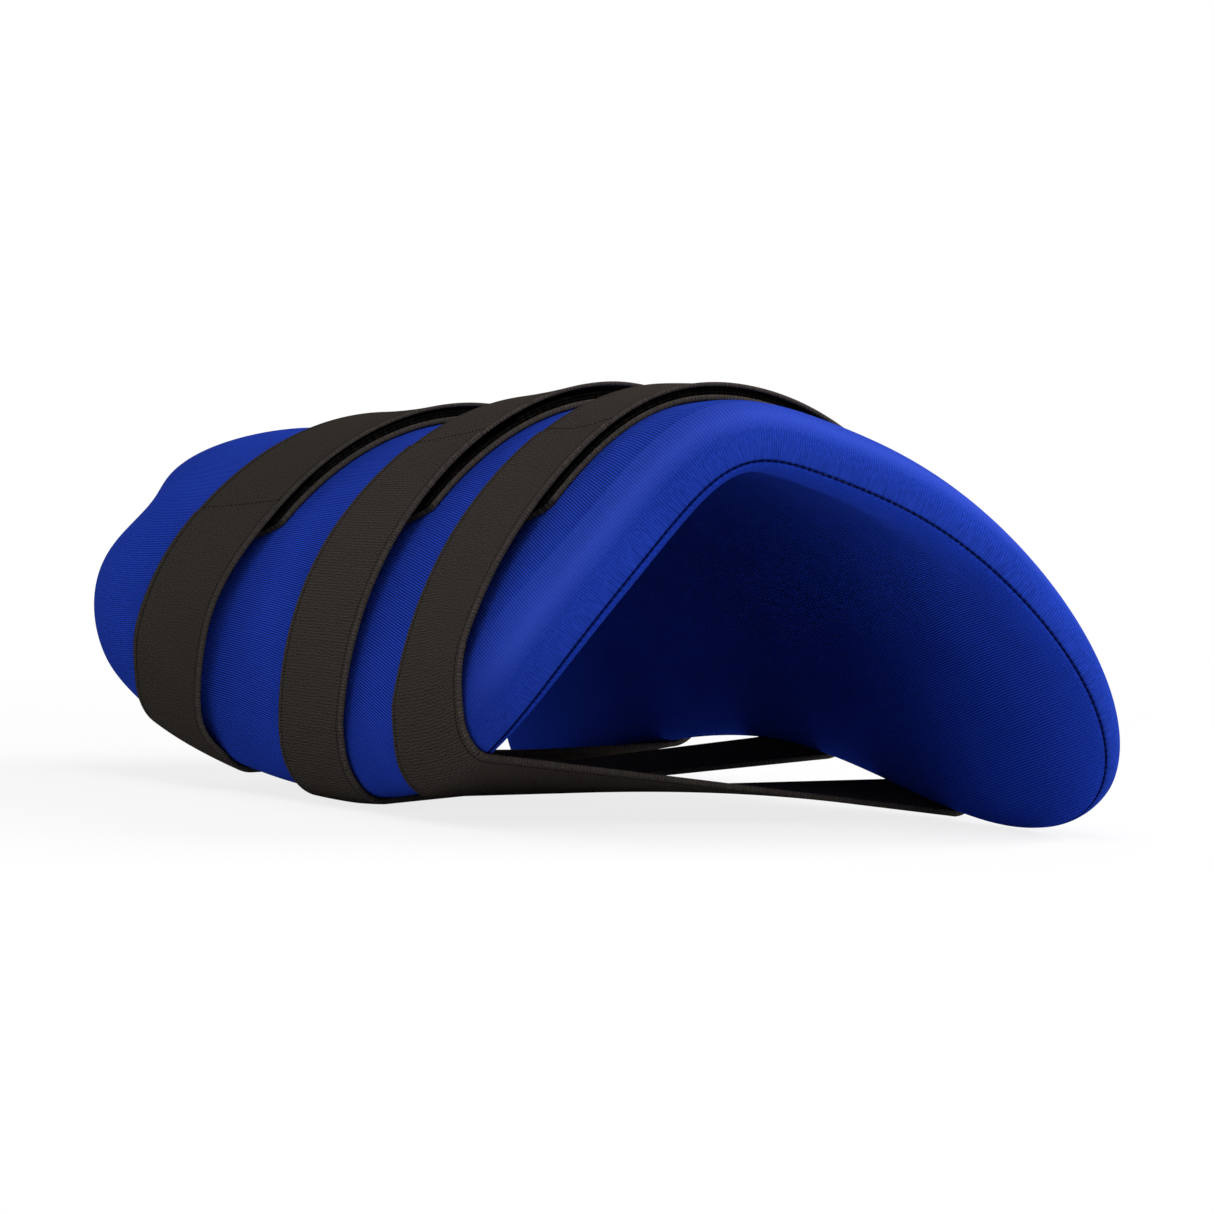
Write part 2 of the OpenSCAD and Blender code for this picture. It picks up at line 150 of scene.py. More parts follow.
@dataclass(frozen=True)
class Arch:
    """The pad's curved middle surface, in which the seam lies and on which every layer is laid."""

    pad_length: float = 301.0
    elbow_skew: float = 34.0
    elbow_bow: float = 37.0
    wrist_skew: float = 2.5
    wrist_bow: float = 16.5
    pinch_depth: float = 6.5
    pinch_swell: float = 2.5
    swell_spread: float = 0.25
    pinch_place: float = -0.45
    pinch_width: float = 0.11
    ridge_height: float = 9.0
    ridge_angle: float = -16.0
    ridge_spread: float = 17.5
    ridge_start: float = 0.9
    ridge_full: float = 0.1
    squares: Four = (3.0, 3.4, 2.8, 4.0)
    half_widths: Four = (84.0, 74.0, 72.5, 68.0)
    wrist_flare: float = 13.0
    crown_narrowing: float = 0.1
    crowns: Four = (101.5, 106.5, 97.5, 88.0)
    wrist_lift: float = 4.5
    springs: Four = (-6.0, 11.5, 23.0, 9.0)
    shifts: Four = (-5.5, 8.5, 7.5, -18.5)
    left_wraps: Four = (76.0, 88.5, 103.0, 79.0)
    right_wraps: Four = (92.5, 92.5, 102.0, 137.5)
    lip_start: float = 2.175
    outer_pad: float = 12.5
    inner_pad: float = 5.5
    edge_round: float = 15.0
    seam_gap: float = 0.15
    outline_share: float = 0.375
    halvings: int = 24
    rest_roll: float = 3.6
    rest_pitch: float = 2.6
    underside: tuple[float, float, float] = (2.70993, -13.7872, 1.01237)

    @property
    def half_length(self) -> float:
        """Half the pad's length along its centre line."""
        return self.pad_length / 2

    @property
    def outline_scale(self) -> float:
        """Length that one unit of the unfolded outline stands for."""
        return self.outline_share * self.pad_length

    def point(self, phi: Array, y: Array) -> Array:
        """Point of the arch: across it is the half width times the sine of phi, up the rise times its cosine.

        At the elbow end a ridge is added to the height, a bell across the arch.

        Args:
            phi: angle from the crown in radians, positive to the right.
            y: place along the arm.

        Returns:
            Points, with the last axis x, y, z.
        """
        t = 1.5 * (y / self.half_length + 1)
        lip = (np.maximum(0.0, t - self.lip_start) / (3 - self.lip_start)) ** 2
        spring = through(self.springs, t)
        rise = through(self.crowns, t) + self.wrist_lift * lip - spring
        half = through(self.half_widths, t) + self.wrist_flare * lip
        half = half * (1 - self.crown_narrowing * np.cos(phi) ** 2)
        x = through(self.shifts, t) + half * np.sin(phi)
        bell = np.exp(-(((np.degrees(phi) - self.ridge_angle) / self.ridge_spread) ** 2))
        rising = smooth((self.ridge_start - t) / (self.ridge_start - self.ridge_full))
        return np.stack([x, y, spring + rise * np.cos(phi) + self.ridge_height * rising * bell], -1)

    def outward(self, phi: Array, y: Array) -> Array:
        """Unit normal away from the arm: the cross product of a step across and a step along the arch.

        Args:
            phi: angle from the crown in radians.
            y: place along the arm.

        Returns:
            Unit vectors.
        """
        turn, step = math.radians(0.2), 0.2
        across = self.point(phi + turn, y) - self.point(phi - turn, y)
        ahead = self.point(phi, y + step) - self.point(phi, y - step)
        return unit(np.cross(across, ahead))

    def run_on(self, u: Array, v: Array) -> Array:
        """How much further the pad runs at u than on its centre line: a skew and a bow, pinched at the wrist.

        Args:
            u: place across, from -1 to 1.
            v: place along, whose sign picks the end.

        Returns:
            Extra lengths.
        """
        pinch = np.exp(-(((u - self.pinch_place) / self.pinch_width) ** 2))
        swell = smooth(-u / self.swell_spread)
        wrist = -self.wrist_skew * u + self.wrist_bow * u * u
        wrist = wrist + self.pinch_swell * swell - self.pinch_depth * pinch
        elbow = self.elbow_skew * u + self.elbow_bow * u * u
        return np.where(v < 0, elbow, wrist)

    def unfold(self, u: Array, v: Array) -> tuple[Array, Array]:
        """Angle from the crown and place along the arm of a point of the unfolded outline.

        Args:
            u: place across, from -1 to 1.
            v: place along, from -1 to 1.

        Returns:
            phi in radians, and y.
        """
        t = 1.5 * (v + 1)
        wrap = np.where(u < 0, through(self.left_wraps, t), through(self.right_wraps, t))
        return np.radians(u * wrap), v * (self.half_length + self.run_on(u, v))

    def reach(self, u: Array, v: Array) -> Array:
        """0 in the middle of the outline and 1 on the seam: the norm of u and v to the corner's own power.

        Args:
            u: place across, from -1 to 1.
            v: place along, from -1 to 1.

        Returns:
            Shares of the way out to the seam.
        """
        elbow_left, elbow_right, wrist_left, wrist_right = self.squares
        n = np.where(
            v < 0,
            np.where(u < 0, elbow_left, elbow_right),
            np.where(u < 0, wrist_left, wrist_right),
        )
        return (np.abs(u) ** n + np.abs(v) ** n) ** (1 / n)

    def skin(self, u: Array, v: Array, lift: Array, fullness: Array) -> Array:
        """Point at u, v raised from the arch along its normal by lift where the padding is full.

        Args:
            u: place across.
            v: place along.
            lift: height of the layer above the arch, negative towards the arm.
            fullness: 0 at the seam and 1 where the padding is full.

        Returns:
            Points of the layer.
        """
        phi, y = self.unfold(u, v)
        base = np.sign(lift) * self.seam_gap
        return self.point(phi, y) + self.outward(phi, y) * (base + (lift - base) * fullness)[..., None]

    def section(self, y: float, steps: int) -> Array:
        """Section of the cover's face at y, as x and z from the left seam over the crown to the right seam.

        Each seam is found by halving the stretch between the crown and the outline's side.

        Args:
            y: place along the arm.
            steps: number of steps, spread closer at both seams.

        Returns:
            Points with the last axis x, z.
        """
        ends = []
        for side in (-1.0, 1.0):
            inside, outside = 0.0, side
            for _ in range(self.halvings):
                u = (inside + outside) / 2
                v = y / (self.half_length + self.run_on(np.array(u), np.array(y)))
                if self.reach(np.array(u), v) < 1:
                    inside = u
                else:
                    outside = u
            ends.append(inside)
        u = ends[0] + (ends[1] - ends[0]) * (1 - np.cos(np.linspace(0, np.pi, steps + 1))) / 2
        v = y / (self.half_length + self.run_on(u, np.full_like(u, y)))
        short = 1 - np.clip((1 - self.reach(u, v)) * self.outline_scale / self.edge_round, 0, 1)
        return self.skin(u, v, np.full_like(u, self.outer_pad), np.sqrt(1 - short * short))[:, [0, 2]]

    def settle(self, points: Array) -> Array:
        """Points set down in the part's frame: turned by the rest roll and pitch, moved, and in metres.

        Args:
            points: points in the arch's own axes, in millimetres.

        Returns:
            Points in metres.
        """
        r, p = math.radians(self.rest_roll), math.radians(self.rest_pitch)
        roll = np.array([[math.cos(r), 0, -math.sin(r)], [0, 1, 0], [math.sin(r), 0, math.cos(r)]])
        pitch = np.array([[1, 0, 0], [0, math.cos(p), -math.sin(p)], [0, math.sin(p), math.cos(p)]])
        return (points @ (pitch @ roll).T - np.array(self.underside)) * MM

    def turn(self, vectors: Array) -> Array:
        """Directions turned into the part's frame, as unit vectors."""
        return unit(self.settle(vectors) - self.settle(np.zeros(3)))


def along_line(at: Array, lengths: Array, points: Array) -> Array:
    """Points of a line at given lengths along it.

    Args:
        at: lengths at which points are wanted.
        lengths: lengths of the line's own points.
        points: the line's points.

    Returns:
        The points, with the last axis x, y, z.
    """
    return np.stack([np.interp(at, lengths, points[:, n]) for n in range(3)], -1)


@dataclass
class Maker:
    """Puts arrays into Blender meshes."""

    def quads(self, cols: int, rows: int) -> Array:
        """Faces of a grid with rows of cols points, anticlockwise seen from above, one line of four each."""
        a = (np.arange(rows - 1)[:, None] * cols + np.arange(cols - 1)[None, :]).ravel()
        return np.stack([a, a + 1, a + cols + 1, a + cols], 1)

    def border(self, cols: int, rows: int) -> Array:
        """Border points of a grid in order, anticlockwise seen from above.

        Args:
            cols: points in a row.
            rows: number of rows.

        Returns:
            Point numbers.
        """
        return np.concatenate([
            np.arange(cols - 1),
            np.arange(rows - 1) * cols + cols - 1,
            (rows - 1) * cols + np.arange(cols - 1, 0, -1),
            np.arange(rows - 1, 0, -1) * cols,
        ])

    def slab(self, cols: int, rows: int) -> Array:
        """Faces of a closed slab between an upper and a lower grid, the lower one's points coming second.

        Args:
            cols: points in a row.
            rows: number of rows.

        Returns:
            Lines of four point numbers.
        """
        top, rim, low = self.quads(cols, rows), self.border(cols, rows), cols * rows
        after = np.roll(rim, -1)
        wall = np.stack([rim, rim + low, after + low, after], 1)
        return np.concatenate([top, top[:, ::-1] + low, wall])

    def mesh(
        self,
        name: str,
        points: Array,
        faces: Array,
        maps: dict[str, Array] | None = None,
        crease: float = 40.0,
    ) -> bpy.types.Object:
        """New mesh object at the origin.

        Args:
            name: the piece's name.
            points: vertices in metres.
            faces: lines of point numbers.
            maps: UV maps by name, with one pair for each corner of the faces.
            crease: edges that turn by more than this many degrees stay sharp.

        Returns:
            The object, linked to the scene.
        """
        data = bpy.data.meshes.new(name)
        data.from_pydata(points.reshape(-1, 3), [], faces)
        for title, pairs in (maps or {}).items():
            layer = data.uv_layers.new(name=title)
            layer.uv.foreach_set("vector", np.ascontiguousarray(pairs, np.float32).ravel())
        data.polygons.foreach_set("use_smooth", np.ones(len(data.polygons), bool))
        data.set_sharp_from_angle(angle=math.radians(crease))
        data.validate()
        data.update()
        return linked(name, data)

    def threads(
        self, name: str, middles: Array, along: Array, up: Array, length: float, thick: float
    ) -> bpy.types.Object:
        """Stitches: a short spindle at each middle, whose girth falls off towards both ends.

        Args:
            name: the piece's name.
            middles: middles of the stitches in metres.
            along: unit vectors along the stitches.
            up: unit vectors off the cloth.
            length: length of a stitch in millimetres.
            thick: thickness of a stitch in millimetres.

        Returns:
            One object with all the stitches.
        """
        reach = np.array([-0.5, -0.4, -0.18, 0.18, 0.4, 0.5]) * length * MM
        girth = np.array([0.2, 0.75, 1.0, 1.0, 0.75, 0.2]) * thick / 2 * MM
        turn = np.arange(6) * np.pi / 3
        side = np.cross(along, up)
        ring = side[:, None, :] * np.cos(turn)[:, None] + up[:, None, :] * np.sin(turn)[:, None]
        points = (
            middles[:, None, None, :]
            + along[:, None, None, :] * reach[:, None, None]
            + ring[:, None, :, :] * girth[:, None, None]
        )
        i, k = np.meshgrid(np.arange(5), np.arange(6), indexing="ij")
        n = (k + 1) % 6
        one = np.stack([i * 6 + k, i * 6 + n, i * 6 + 6 + n, i * 6 + 6 + k], -1).reshape(-1, 4)
        ends = np.array([[0, 3, 2, 1], [0, 5, 4, 3], [30, 31, 32, 33], [30, 33, 34, 35]])
        one = np.concatenate([one, ends])
        faces = (np.arange(len(middles)) * 36)[:, None, None] + one[None]
        return self.mesh(name, points, faces.reshape(-1, 4), crease=80.0)


@dataclass
class Tree:
    """Shader nodes of one material or group, with short ways to place and join them."""

    nodes: bpy.types.bpy_prop_collection
    links: bpy.types.bpy_prop_collection

    @classmethod
    def of(cls, block: bpy.types.ID) -> "Tree":
        """The tree of a material or world, which is switched to nodes."""
        block.use_nodes = True
        return cls(block.node_tree.nodes, block.node_tree.links)

    def put(self, kind: str, inputs: dict | None = None, **settings: object) -> bpy.types.Node:
        """Place a node.

        Args:
            kind: Blender's name of the node type.
            inputs: values or sockets by input name or number.
            settings: the node's own settings.

        Returns:
            The node.
        """
        made = self.nodes.new(kind)
        for key, value in settings.items():
            setattr(made, key, value)
        for key, value in (inputs or {}).items():
            self.join(value, made.inputs[key])
        return made

    def join(self, value: object, socket: bpy.types.NodeSocket) -> None:
        """Link a socket, or set a plain value, on an input.

        Args:
            value: the socket or the plain value.
            socket: the input.
        """
        if isinstance(value, bpy.types.NodeSocket):
            self.links.new(value, socket)
        else:
            socket.default_value = value

    def math(self, operation: str, *terms: object) -> bpy.types.NodeSocket:
        """Result of a Math node on up to three sockets or numbers."""
        return self.put("ShaderNodeMath", dict(enumerate(terms)), operation=operation).outputs[0]

    def wave(self, place: object, pitch: object) -> bpy.types.NodeSocket:
        """Sine that repeats at each pitch of a place."""
        return self.math("SINE", self.math("MULTIPLY", self.math("DIVIDE", place, pitch), 2 * math.pi))

    def noise(self, vector: object, scale: float, detail: float = 2.0) -> bpy.types.NodeSocket:
        """Noise from 0 to 1 at a scale."""
        inputs = {"Vector": vector, "Scale": scale, "Detail": detail}
        return self.put("ShaderNodeTexNoise", inputs).outputs["Fac"]

    def wobble(self, vector: object, scale: float, detail: float, spread: float) -> bpy.types.NodeSocket:
        """Noise about 0, from half the spread below to half above."""
        return self.math("MULTIPLY_ADD", self.noise(vector, scale, detail), spread, -spread / 2)

    def ramp(
        self, value: object, low: float, high: float, bottom: float = 0.0, top: float = 1.0
    ) -> bpy.types.NodeSocket:
        """Value mapped from between low and high to between bottom and top, and held there."""
        inputs = {"Value": value, "From Min": low, "From Max": high, "To Min": bottom, "To Max": top}
        return self.put("ShaderNodeMapRange", inputs).outputs["Result"]

    def weighed(self, level: object, *parts: tuple[object, float]) -> bpy.types.NodeSocket:
        """A level to which parts are added, each times its weight.

        Args:
            level: the level to start from.
            parts: sockets and their weights.

        Returns:
            The sum's socket.
        """
        for part, weight in parts:
            level = self.math("MULTIPLY_ADD", part, weight, level)
        return level

    def mix(self, share: object, a: object, b: object) -> bpy.types.NodeSocket:
        """Colour between two, by share.

        Args:
            share: share of the second colour.
            a: the first colour.
            b: the second colour.

        Returns:
            The colour's socket.
        """
        made = self.put("ShaderNodeMix", {"Factor": share}, data_type="RGBA")
        self.join(a, made.inputs[6])
        self.join(b, made.inputs[7])
        return made.outputs[2]


class Effect(Enum):
    """Effects that several finishes share, each a shader node group."""

    RIB_KNIT = "rib_knit"
    SEAM_PUCKER = "seam_pucker"
    ELASTIC_WEAVE = "elastic_weave"
    PILE = "pile"
    LINT = "lint"

    def group(self) -> bpy.types.NodeTree:
        """The group of this effect, built on first use.

        Returns:
            The node group.
        """
        found = bpy.data.node_groups.get(self.value)
        if found is None:
            found = bpy.data.node_groups.new(self.value, "ShaderNodeTree")
            getattr(self, "_" + self.value)(found)
        return found

    def _start(
        self, group: bpy.types.NodeTree, inputs: list[tuple[str, str, object]], outputs: list[str]
    ) -> tuple[Tree, bpy.types.Node, bpy.types.Node]:
        """Sockets of a group, and its input and output nodes.

        Args:
            group: the new group.
            inputs: name, socket type and default value of each input.
            outputs: names of the values it puts out.

        Returns:
            The tree to build in, the input node and the output node.
        """
        for name, kind, value in inputs:
            made = group.interface.new_socket(name, in_out="INPUT", socket_type=kind)
            if value is not None:
                made.default_value = value
        for name in outputs:
            group.interface.new_socket(name, in_out="OUTPUT", socket_type="NodeSocketFloat")
        tree = Tree(group.nodes, group.links)
        return tree, tree.put("NodeGroupInput"), tree.put("NodeGroupOutput")

    def _rib_knit(self, group: bpy.types.NodeTree) -> None:
        """Fine ribs that slant a little from the arm's direction, a fuzz on them, and faint patches.

        Args:
            group: the new group to fill.
        """
        tree, given, out = self._start(
            group,
            [
                ("Cloth", "NodeSocketVector", None),
                ("Pitch", "NodeSocketFloat", 0.7),
                ("Slant", "NodeSocketFloat", 0.1),
                ("Ribs", "NodeSocketFloat", 1.0),
            ],
            ["Shade", "Height"],
        )
        cloth = given.outputs["Cloth"]
        split = tree.put("ShaderNodeSeparateXYZ", {0: cloth})
        wander = tree.wobble(cloth, scale=0.04, detail=1.0, spread=0.8)
        lean = tree.math("MULTIPLY", split.outputs[1], given.outputs["Slant"])
        across = tree.math("SUBTRACT", tree.math("ADD", split.outputs[0], wander), lean)
        rib = tree.math("MULTIPLY", tree.wave(across, given.outputs["Pitch"]), given.outputs["Ribs"])
        fuzz = tree.wobble(cloth, scale=1.7, detail=2.0, spread=0.6)
        high = tree.math("ADD", tree.math("MULTIPLY_ADD", rib, 0.42, 0.48), fuzz)
        patch = tree.wobble(cloth, scale=0.03, detail=3.0, spread=0.3)
        tree.join(tree.math("ADD", high, patch), out.inputs["Shade"])
        tree.join(high, out.inputs["Height"])

    def _seam_pucker(self, group: bpy.types.NodeTree) -> None:
        """Small gathers that run off the seam at each stitch and fade out a few millimetres away, and painted
        shade in the seam's ditch.

        Args:
            group: the new group to fill.
        """
        tree, given, out = self._start(
            group,
            [("Seam", "NodeSocketVector", None), ("Pitch", "NodeSocketFloat", 1.9)],
            ["Shade", "Height"],
        )
        split = tree.put("ShaderNodeSeparateXYZ", {0: given.outputs["Seam"]})
        uneven = tree.wobble(given.outputs["Seam"], scale=0.25, detail=2.0, spread=1.2)
        gather = tree.wave(tree.math("ADD", split.outputs[0], uneven), given.outputs["Pitch"])
        gather = tree.math("MULTIPLY_ADD", gather, 0.5, 0.5)
        near = tree.ramp(split.outputs[1], 0.2, 3.0, 1.0, 0.0)
        near = tree.math("MULTIPLY", near, near)
        tree.join(tree.math("MULTIPLY", gather, near), out.inputs["Height"])
        # Painted shade: Shade darkens the ditch within half a millimetre of the seam, less on each gather.
        ditch = tree.ramp(split.outputs[1], 0.15, 0.5, 1.0, 0.0)
        dash = tree.math("MULTIPLY_ADD", gather, -0.5, 1.0)
        tree.join(tree.math("MULTIPLY", ditch, dash), out.inputs["Shade"])

    def _elastic_weave(self, group: bpy.types.NodeTree) -> None:
        """Broken ribs across the webbing, a grain, and near each edge a groove with a row of needle holes.

        Args:
            group: the new group to fill.
        """
        tree, given, out = self._start(
            group,
            [
                ("Strap", "NodeSocketVector", None),
                ("Pitch", "NodeSocketFloat", 0.85),
                ("Ribs", "NodeSocketFloat", 0.3),
            ],
            ["Shade", "Height"],
        )
        strap = given.outputs["Strap"]
        split = tree.put("ShaderNodeSeparateXYZ", {0: strap})
        wander = tree.wobble(strap, scale=0.35, detail=2.0, spread=1.0)
        rib = tree.wave(tree.math("ADD", split.outputs[0], wander), given.outputs["Pitch"])
        broken = tree.ramp(tree.noise(strap, 0.6, 2.0), 0.35, 0.65, 0.1, 1.0)
        rib = tree.math("MULTIPLY", tree.math("MULTIPLY", rib, broken), given.outputs["Ribs"])
        grain = tree.wobble(strap, scale=2.6, detail=2.0, spread=3.4)
        groove_place, needle_pitch, bead_start, bead_full = 17.9, 0.75, 19.4, 19.7
        edge = tree.math("ABSOLUTE", split.outputs[1])
        beside = tree.math("ABSOLUTE", tree.math("SUBTRACT", edge, groove_place))
        groove = tree.ramp(beside, 0.12, 0.4, 1.0, 0.0)
        needle = tree.math("MULTIPLY_ADD", tree.wave(split.outputs[0], needle_pitch), 0.5, 0.5)
        hole = tree.math("MULTIPLY", groove, needle)
        bead = tree.ramp(edge, bead_start, bead_full)
        level = tree.math("ADD", 0.45, rib)
        shade = tree.weighed(level, (grain, 0.55), (groove, -0.15), (hole, -0.5), (bead, 0.1))
        tree.join(shade, out.inputs["Shade"])
        tree.join(tree.weighed(rib, (grain, 0.5), (hole, -0.8)), out.inputs["Height"])

    def _pile(self, group: bpy.types.NodeTree) -> None:
        """Tangled loops: cells a few tenths of a millimetre wide over a coarser tumble.

        Args:
            group: the new group to fill.
        """
        tree, given, out = self._start(group, [("Place", "NodeSocketVector", None)], ["Shade", "Height"])
        place = given.outputs["Place"]
        cells = tree.put("ShaderNodeTexVoronoi", {"Vector": place, "Scale": 1.6}).outputs["Distance"]
        tumble = tree.noise(place, 0.9, 4.0)
        tree.join(tree.math("MULTIPLY", cells, tumble), out.inputs["Shade"])
        tree.join(tree.math("ADD", cells, tumble), out.inputs["Height"])

    def _lint(self, group: bpy.types.NodeTree) -> None:
        """A few pale specks of lint: one small dot in some of the cells of a coarse scatter.

        Args:
            group: the new group to fill.
        """
        tree, given, out = self._start(
            group, [("Place", "NodeSocketVector", None), ("Amount", "NodeSocketFloat", 0.3)], ["Mask"]
        )
        scatter = tree.put("ShaderNodeTexVoronoi", {"Vector": given.outputs["Place"], "Scale": 0.055})
        dot = tree.ramp(scatter.outputs["Distance"], 0.012, 0.022, 1.0, 0.0)
        pick = tree.put("ShaderNodeSeparateColor", {0: scatter.outputs["Color"]}).outputs[0]
        chosen = tree.math("LESS_THAN", pick, given.outputs["Amount"])
        tree.join(tree.math("MULTIPLY", dot, chosen), out.inputs["Mask"])


@dataclass(frozen=True)
class Finish:
    """What every finish of the guard has: a dark and a light colour, roughness and sheen."""

    name: str
    dark: Colour
    light: Colour
    roughness: float = 0.8
    sheen: float = 0.0
    sheen_tint: Colour = (255, 255, 255)
    sheen_spread: float = 0.45
    gloss: float = 0.0
    bump: float = 0.15

    def start(self) -> tuple[bpy.types.Material, Tree, bpy.types.Node]:
        """A new material with its shader, whose constant values are set on the shader's own sockets.

        Returns:
            The material, its tree and its Principled shader.
        """
        made = bpy.data.materials.new(self.name)
        tree = Tree.of(made)
        shader = tree.nodes["Principled BSDF"]
        shader.inputs["Roughness"].default_value = self.roughness
        shader.inputs["Sheen Weight"].default_value = self.sheen
        shader.inputs["Sheen Roughness"].default_value = self.sheen_spread
        shader.inputs["Sheen Tint"].default_value = linear(self.sheen_tint)
        shader.inputs["Specular IOR Level"].default_value = self.gloss
        return made, tree, shader

    def place(self, tree: Tree, title: str) -> bpy.types.NodeSocket:
        """A UV map read in millimetres."""
        uv = tree.put("ShaderNodeUVMap", uv_map=title).outputs[0]
        return tree.put("ShaderNodeVectorMath", {0: uv, 3: 1000.0}, operation="SCALE").outputs[0]

    def effect(self, tree: Tree, effect: Effect, **inputs: object) -> bpy.types.Node:
        """A shared effect placed in the material with its own values.

        Args:
            tree: the material's tree.
            effect: the effect.
            inputs: values or sockets by input name.

        Returns:
            The group's node.
        """
        made = tree.put("ShaderNodeGroup", node_tree=effect.group())
        for key, value in inputs.items():
            tree.join(value, made.inputs[key])
        return made

    def bumped(
        self, tree: Tree, height: object, distance: float, normal: object | None = None
    ) -> bpy.types.NodeSocket:
        """Normal of a Bump node on a height, on top of another normal where one is given.

        Args:
            tree: the material's tree.
            height: the height's socket.
            distance: depth in millimetres of a height of 1.
            normal: the normal below it.

        Returns:
            The normal's socket.
        """
        inputs = {"Height": height, "Distance": distance * MM, "Strength": 1.0}
        if normal is not None:
            inputs["Normal"] = normal
        return tree.put("ShaderNodeBump", inputs).outputs[0]

    def shaded(
        self, tree: Tree, shade: object, low: float = 0.0, high: float = 1.0
    ) -> bpy.types.NodeSocket:
        """Colour that goes from dark to light as a shade goes from low to high."""
        return tree.mix(tree.ramp(shade, low, high), linear(self.dark), linear(self.light))


@dataclass(frozen=True)
class KnitFinish(Finish):
    """Ribbed stretch cloth with its gathers along the seam, a few specks of lint, a painted highlight along
    the shoulder at the elbow end, and painted shade in the seam's ditch.
    """

    pitch: float = 0.66
    slant: float = 0.09
    shoulder: float = 12.5
    shoulder_ribs: float = 0.3
    flatter: tuple[float, float] = (-3.0, 1.5)
    # Where the painted highlight rises, is full and falls off, as shares of the shoulder.
    highlight_reach: tuple[float, float, float] = (0.6, 0.85, 0.9)
    elbow_end: tuple[float, float] = (-115.0, -85.0)
    # Painted highlight: a lighter blue mixed in along the shoulder at the elbow end, stretch being its share.
    highlight_colour: Colour = (69, 93, 214)
    stretch: float = 0.3
    # Painted shade in the seam's ditch: its dark colour and how much of it is mixed in.
    seam_ditch_shadow: Colour = (1, 4, 30)
    ditch_shadow_share: float = 0.75
    gather: float = 0.25
    lint: float = 0.25
    lint_shade: Colour = (120, 130, 190)

    def material(self) -> bpy.types.Material:
        """The cloth's material: over the shoulder its ribs are flatter, at the elbow end a painted highlight
        lightens a band along the shoulder, and the seam's ditch gets painted shade.

        Returns:
            The material.
        """
        made, tree, shader = self.start()
        place, along = self.place(tree, "cloth"), self.place(tree, "seam")
        away = tree.put("ShaderNodeSeparateXYZ", {0: along}).outputs[1]
        flat_from, flat_to = (self.shoulder + way for way in self.flatter)
        # Painted highlight along the shoulder: it rises, is full and falls off across the shoulder, and fades
        # out away from the elbow end.
        highlight_from, highlight_full, highlight_past = (self.shoulder * share for share in self.highlight_reach)
        ribs = tree.ramp(away, flat_from, flat_to, self.shoulder_ribs, 1.0)
        rising = tree.ramp(away, highlight_from, highlight_full)
        falling = tree.ramp(away, highlight_past, flat_to, 1.0, 0.0)
        arm = tree.put("ShaderNodeSeparateXYZ", {0: place}).outputs[1]
        elbow = tree.ramp(arm, *self.elbow_end, 1.0, 0.0)
        # band is where the painted highlight lies, and taut is how much of its lighter colour is mixed in.
        band = tree.math("MULTIPLY", tree.math("MULTIPLY", rising, falling), elbow)
        taut = tree.math("MULTIPLY", band, self.stretch)
        knit = self.effect(
            tree, Effect.RIB_KNIT, Cloth=place, Pitch=self.pitch, Slant=self.slant, Ribs=ribs
        )
        seam = self.effect(tree, Effect.SEAM_PUCKER, Seam=along)
        lint = self.effect(tree, Effect.LINT, Place=place, Amount=self.lint)
        # The painted highlight is mixed over the ribbed colour.
        colour = tree.mix(taut, self.shaded(tree, knit.outputs["Shade"]), linear(self.highlight_colour))
        # Painted shade mixed in along the seam's ditch.
        sewn = tree.math("MULTIPLY", seam.outputs["Shade"], self.ditch_shadow_share)
        colour = tree.mix(sewn, colour, linear(self.seam_ditch_shadow))
        colour = tree.mix(lint.outputs["Mask"], colour, linear(self.lint_shade))
        tree.join(colour, shader.inputs["Base Color"])
        fine = self.bumped(tree, knit.outputs["Height"], self.bump)
        tree.join(self.bumped(tree, seam.outputs["Height"], self.gather, fine), shader.inputs["Normal"])
        return made


@dataclass(frozen=True)
class WebbingFinish(Finish):
    """Woven elastic webbing with ribs across it and stitched edges."""

    pitch: float = 0.85
    ribs: float = 0.25
    lint: float = 0.08
    lint_shade: Colour = (70, 66, 60)

    def material(self) -> bpy.types.Material:
        """The webbing's material.

        Returns:
            The material.
        """
        made, tree, shader = self.start()
        place = self.place(tree, "strap")
        weave = self.effect(tree, Effect.ELASTIC_WEAVE, Strap=place, Pitch=self.pitch, Ribs=self.ribs)
        lint = self.effect(tree, Effect.LINT, Place=place, Amount=self.lint)
        colour = self.shaded(tree, weave.outputs["Shade"])
        colour = tree.mix(lint.outputs["Mask"], colour, linear(self.lint_shade))
        tree.join(colour, shader.inputs["Base Color"])
        tree.join(self.bumped(tree, weave.outputs["Height"], self.bump), shader.inputs["Normal"])
        return made


@dataclass(frozen=True)
class PileFinish(Finish):
    """Fuzzy loops or bristly hooks of a touch fastener."""

    def material(self) -> bpy.types.Material:
        """The pile's material.

        Returns:
            The material.
        """
        made, tree, shader = self.start()
        pile = self.effect(tree, Effect.PILE, Place=self.place(tree, "strap"))
        tree.join(self.shaded(tree, pile.outputs["Shade"], 0.05, 0.5), shader.inputs["Base Color"])
        tree.join(self.bumped(tree, pile.outputs["Height"], self.bump), shader.inputs["Normal"])
        return made


@dataclass(frozen=True)
class SpunFinish(Finish):
    """Sewing thread, or foam, mottled through the thickness of the piece."""

    scale: float = 900.0

    def material(self) -> bpy.types.Material:
        """The material, whose mottle is read from Object coordinates.

        Returns:
            The material.
        """
        made, tree, shader = self.start()
        place = tree.put("ShaderNodeTexCoord").outputs["Object"]
        mottle = tree.noise(place, self.scale, 3.0)
        tree.join(self.shaded(tree, mottle, 0.3, 0.7), shader.inputs["Base Color"])
        tree.join(self.bumped(tree, mottle, self.bump), shader.inputs["Normal"])
        return made


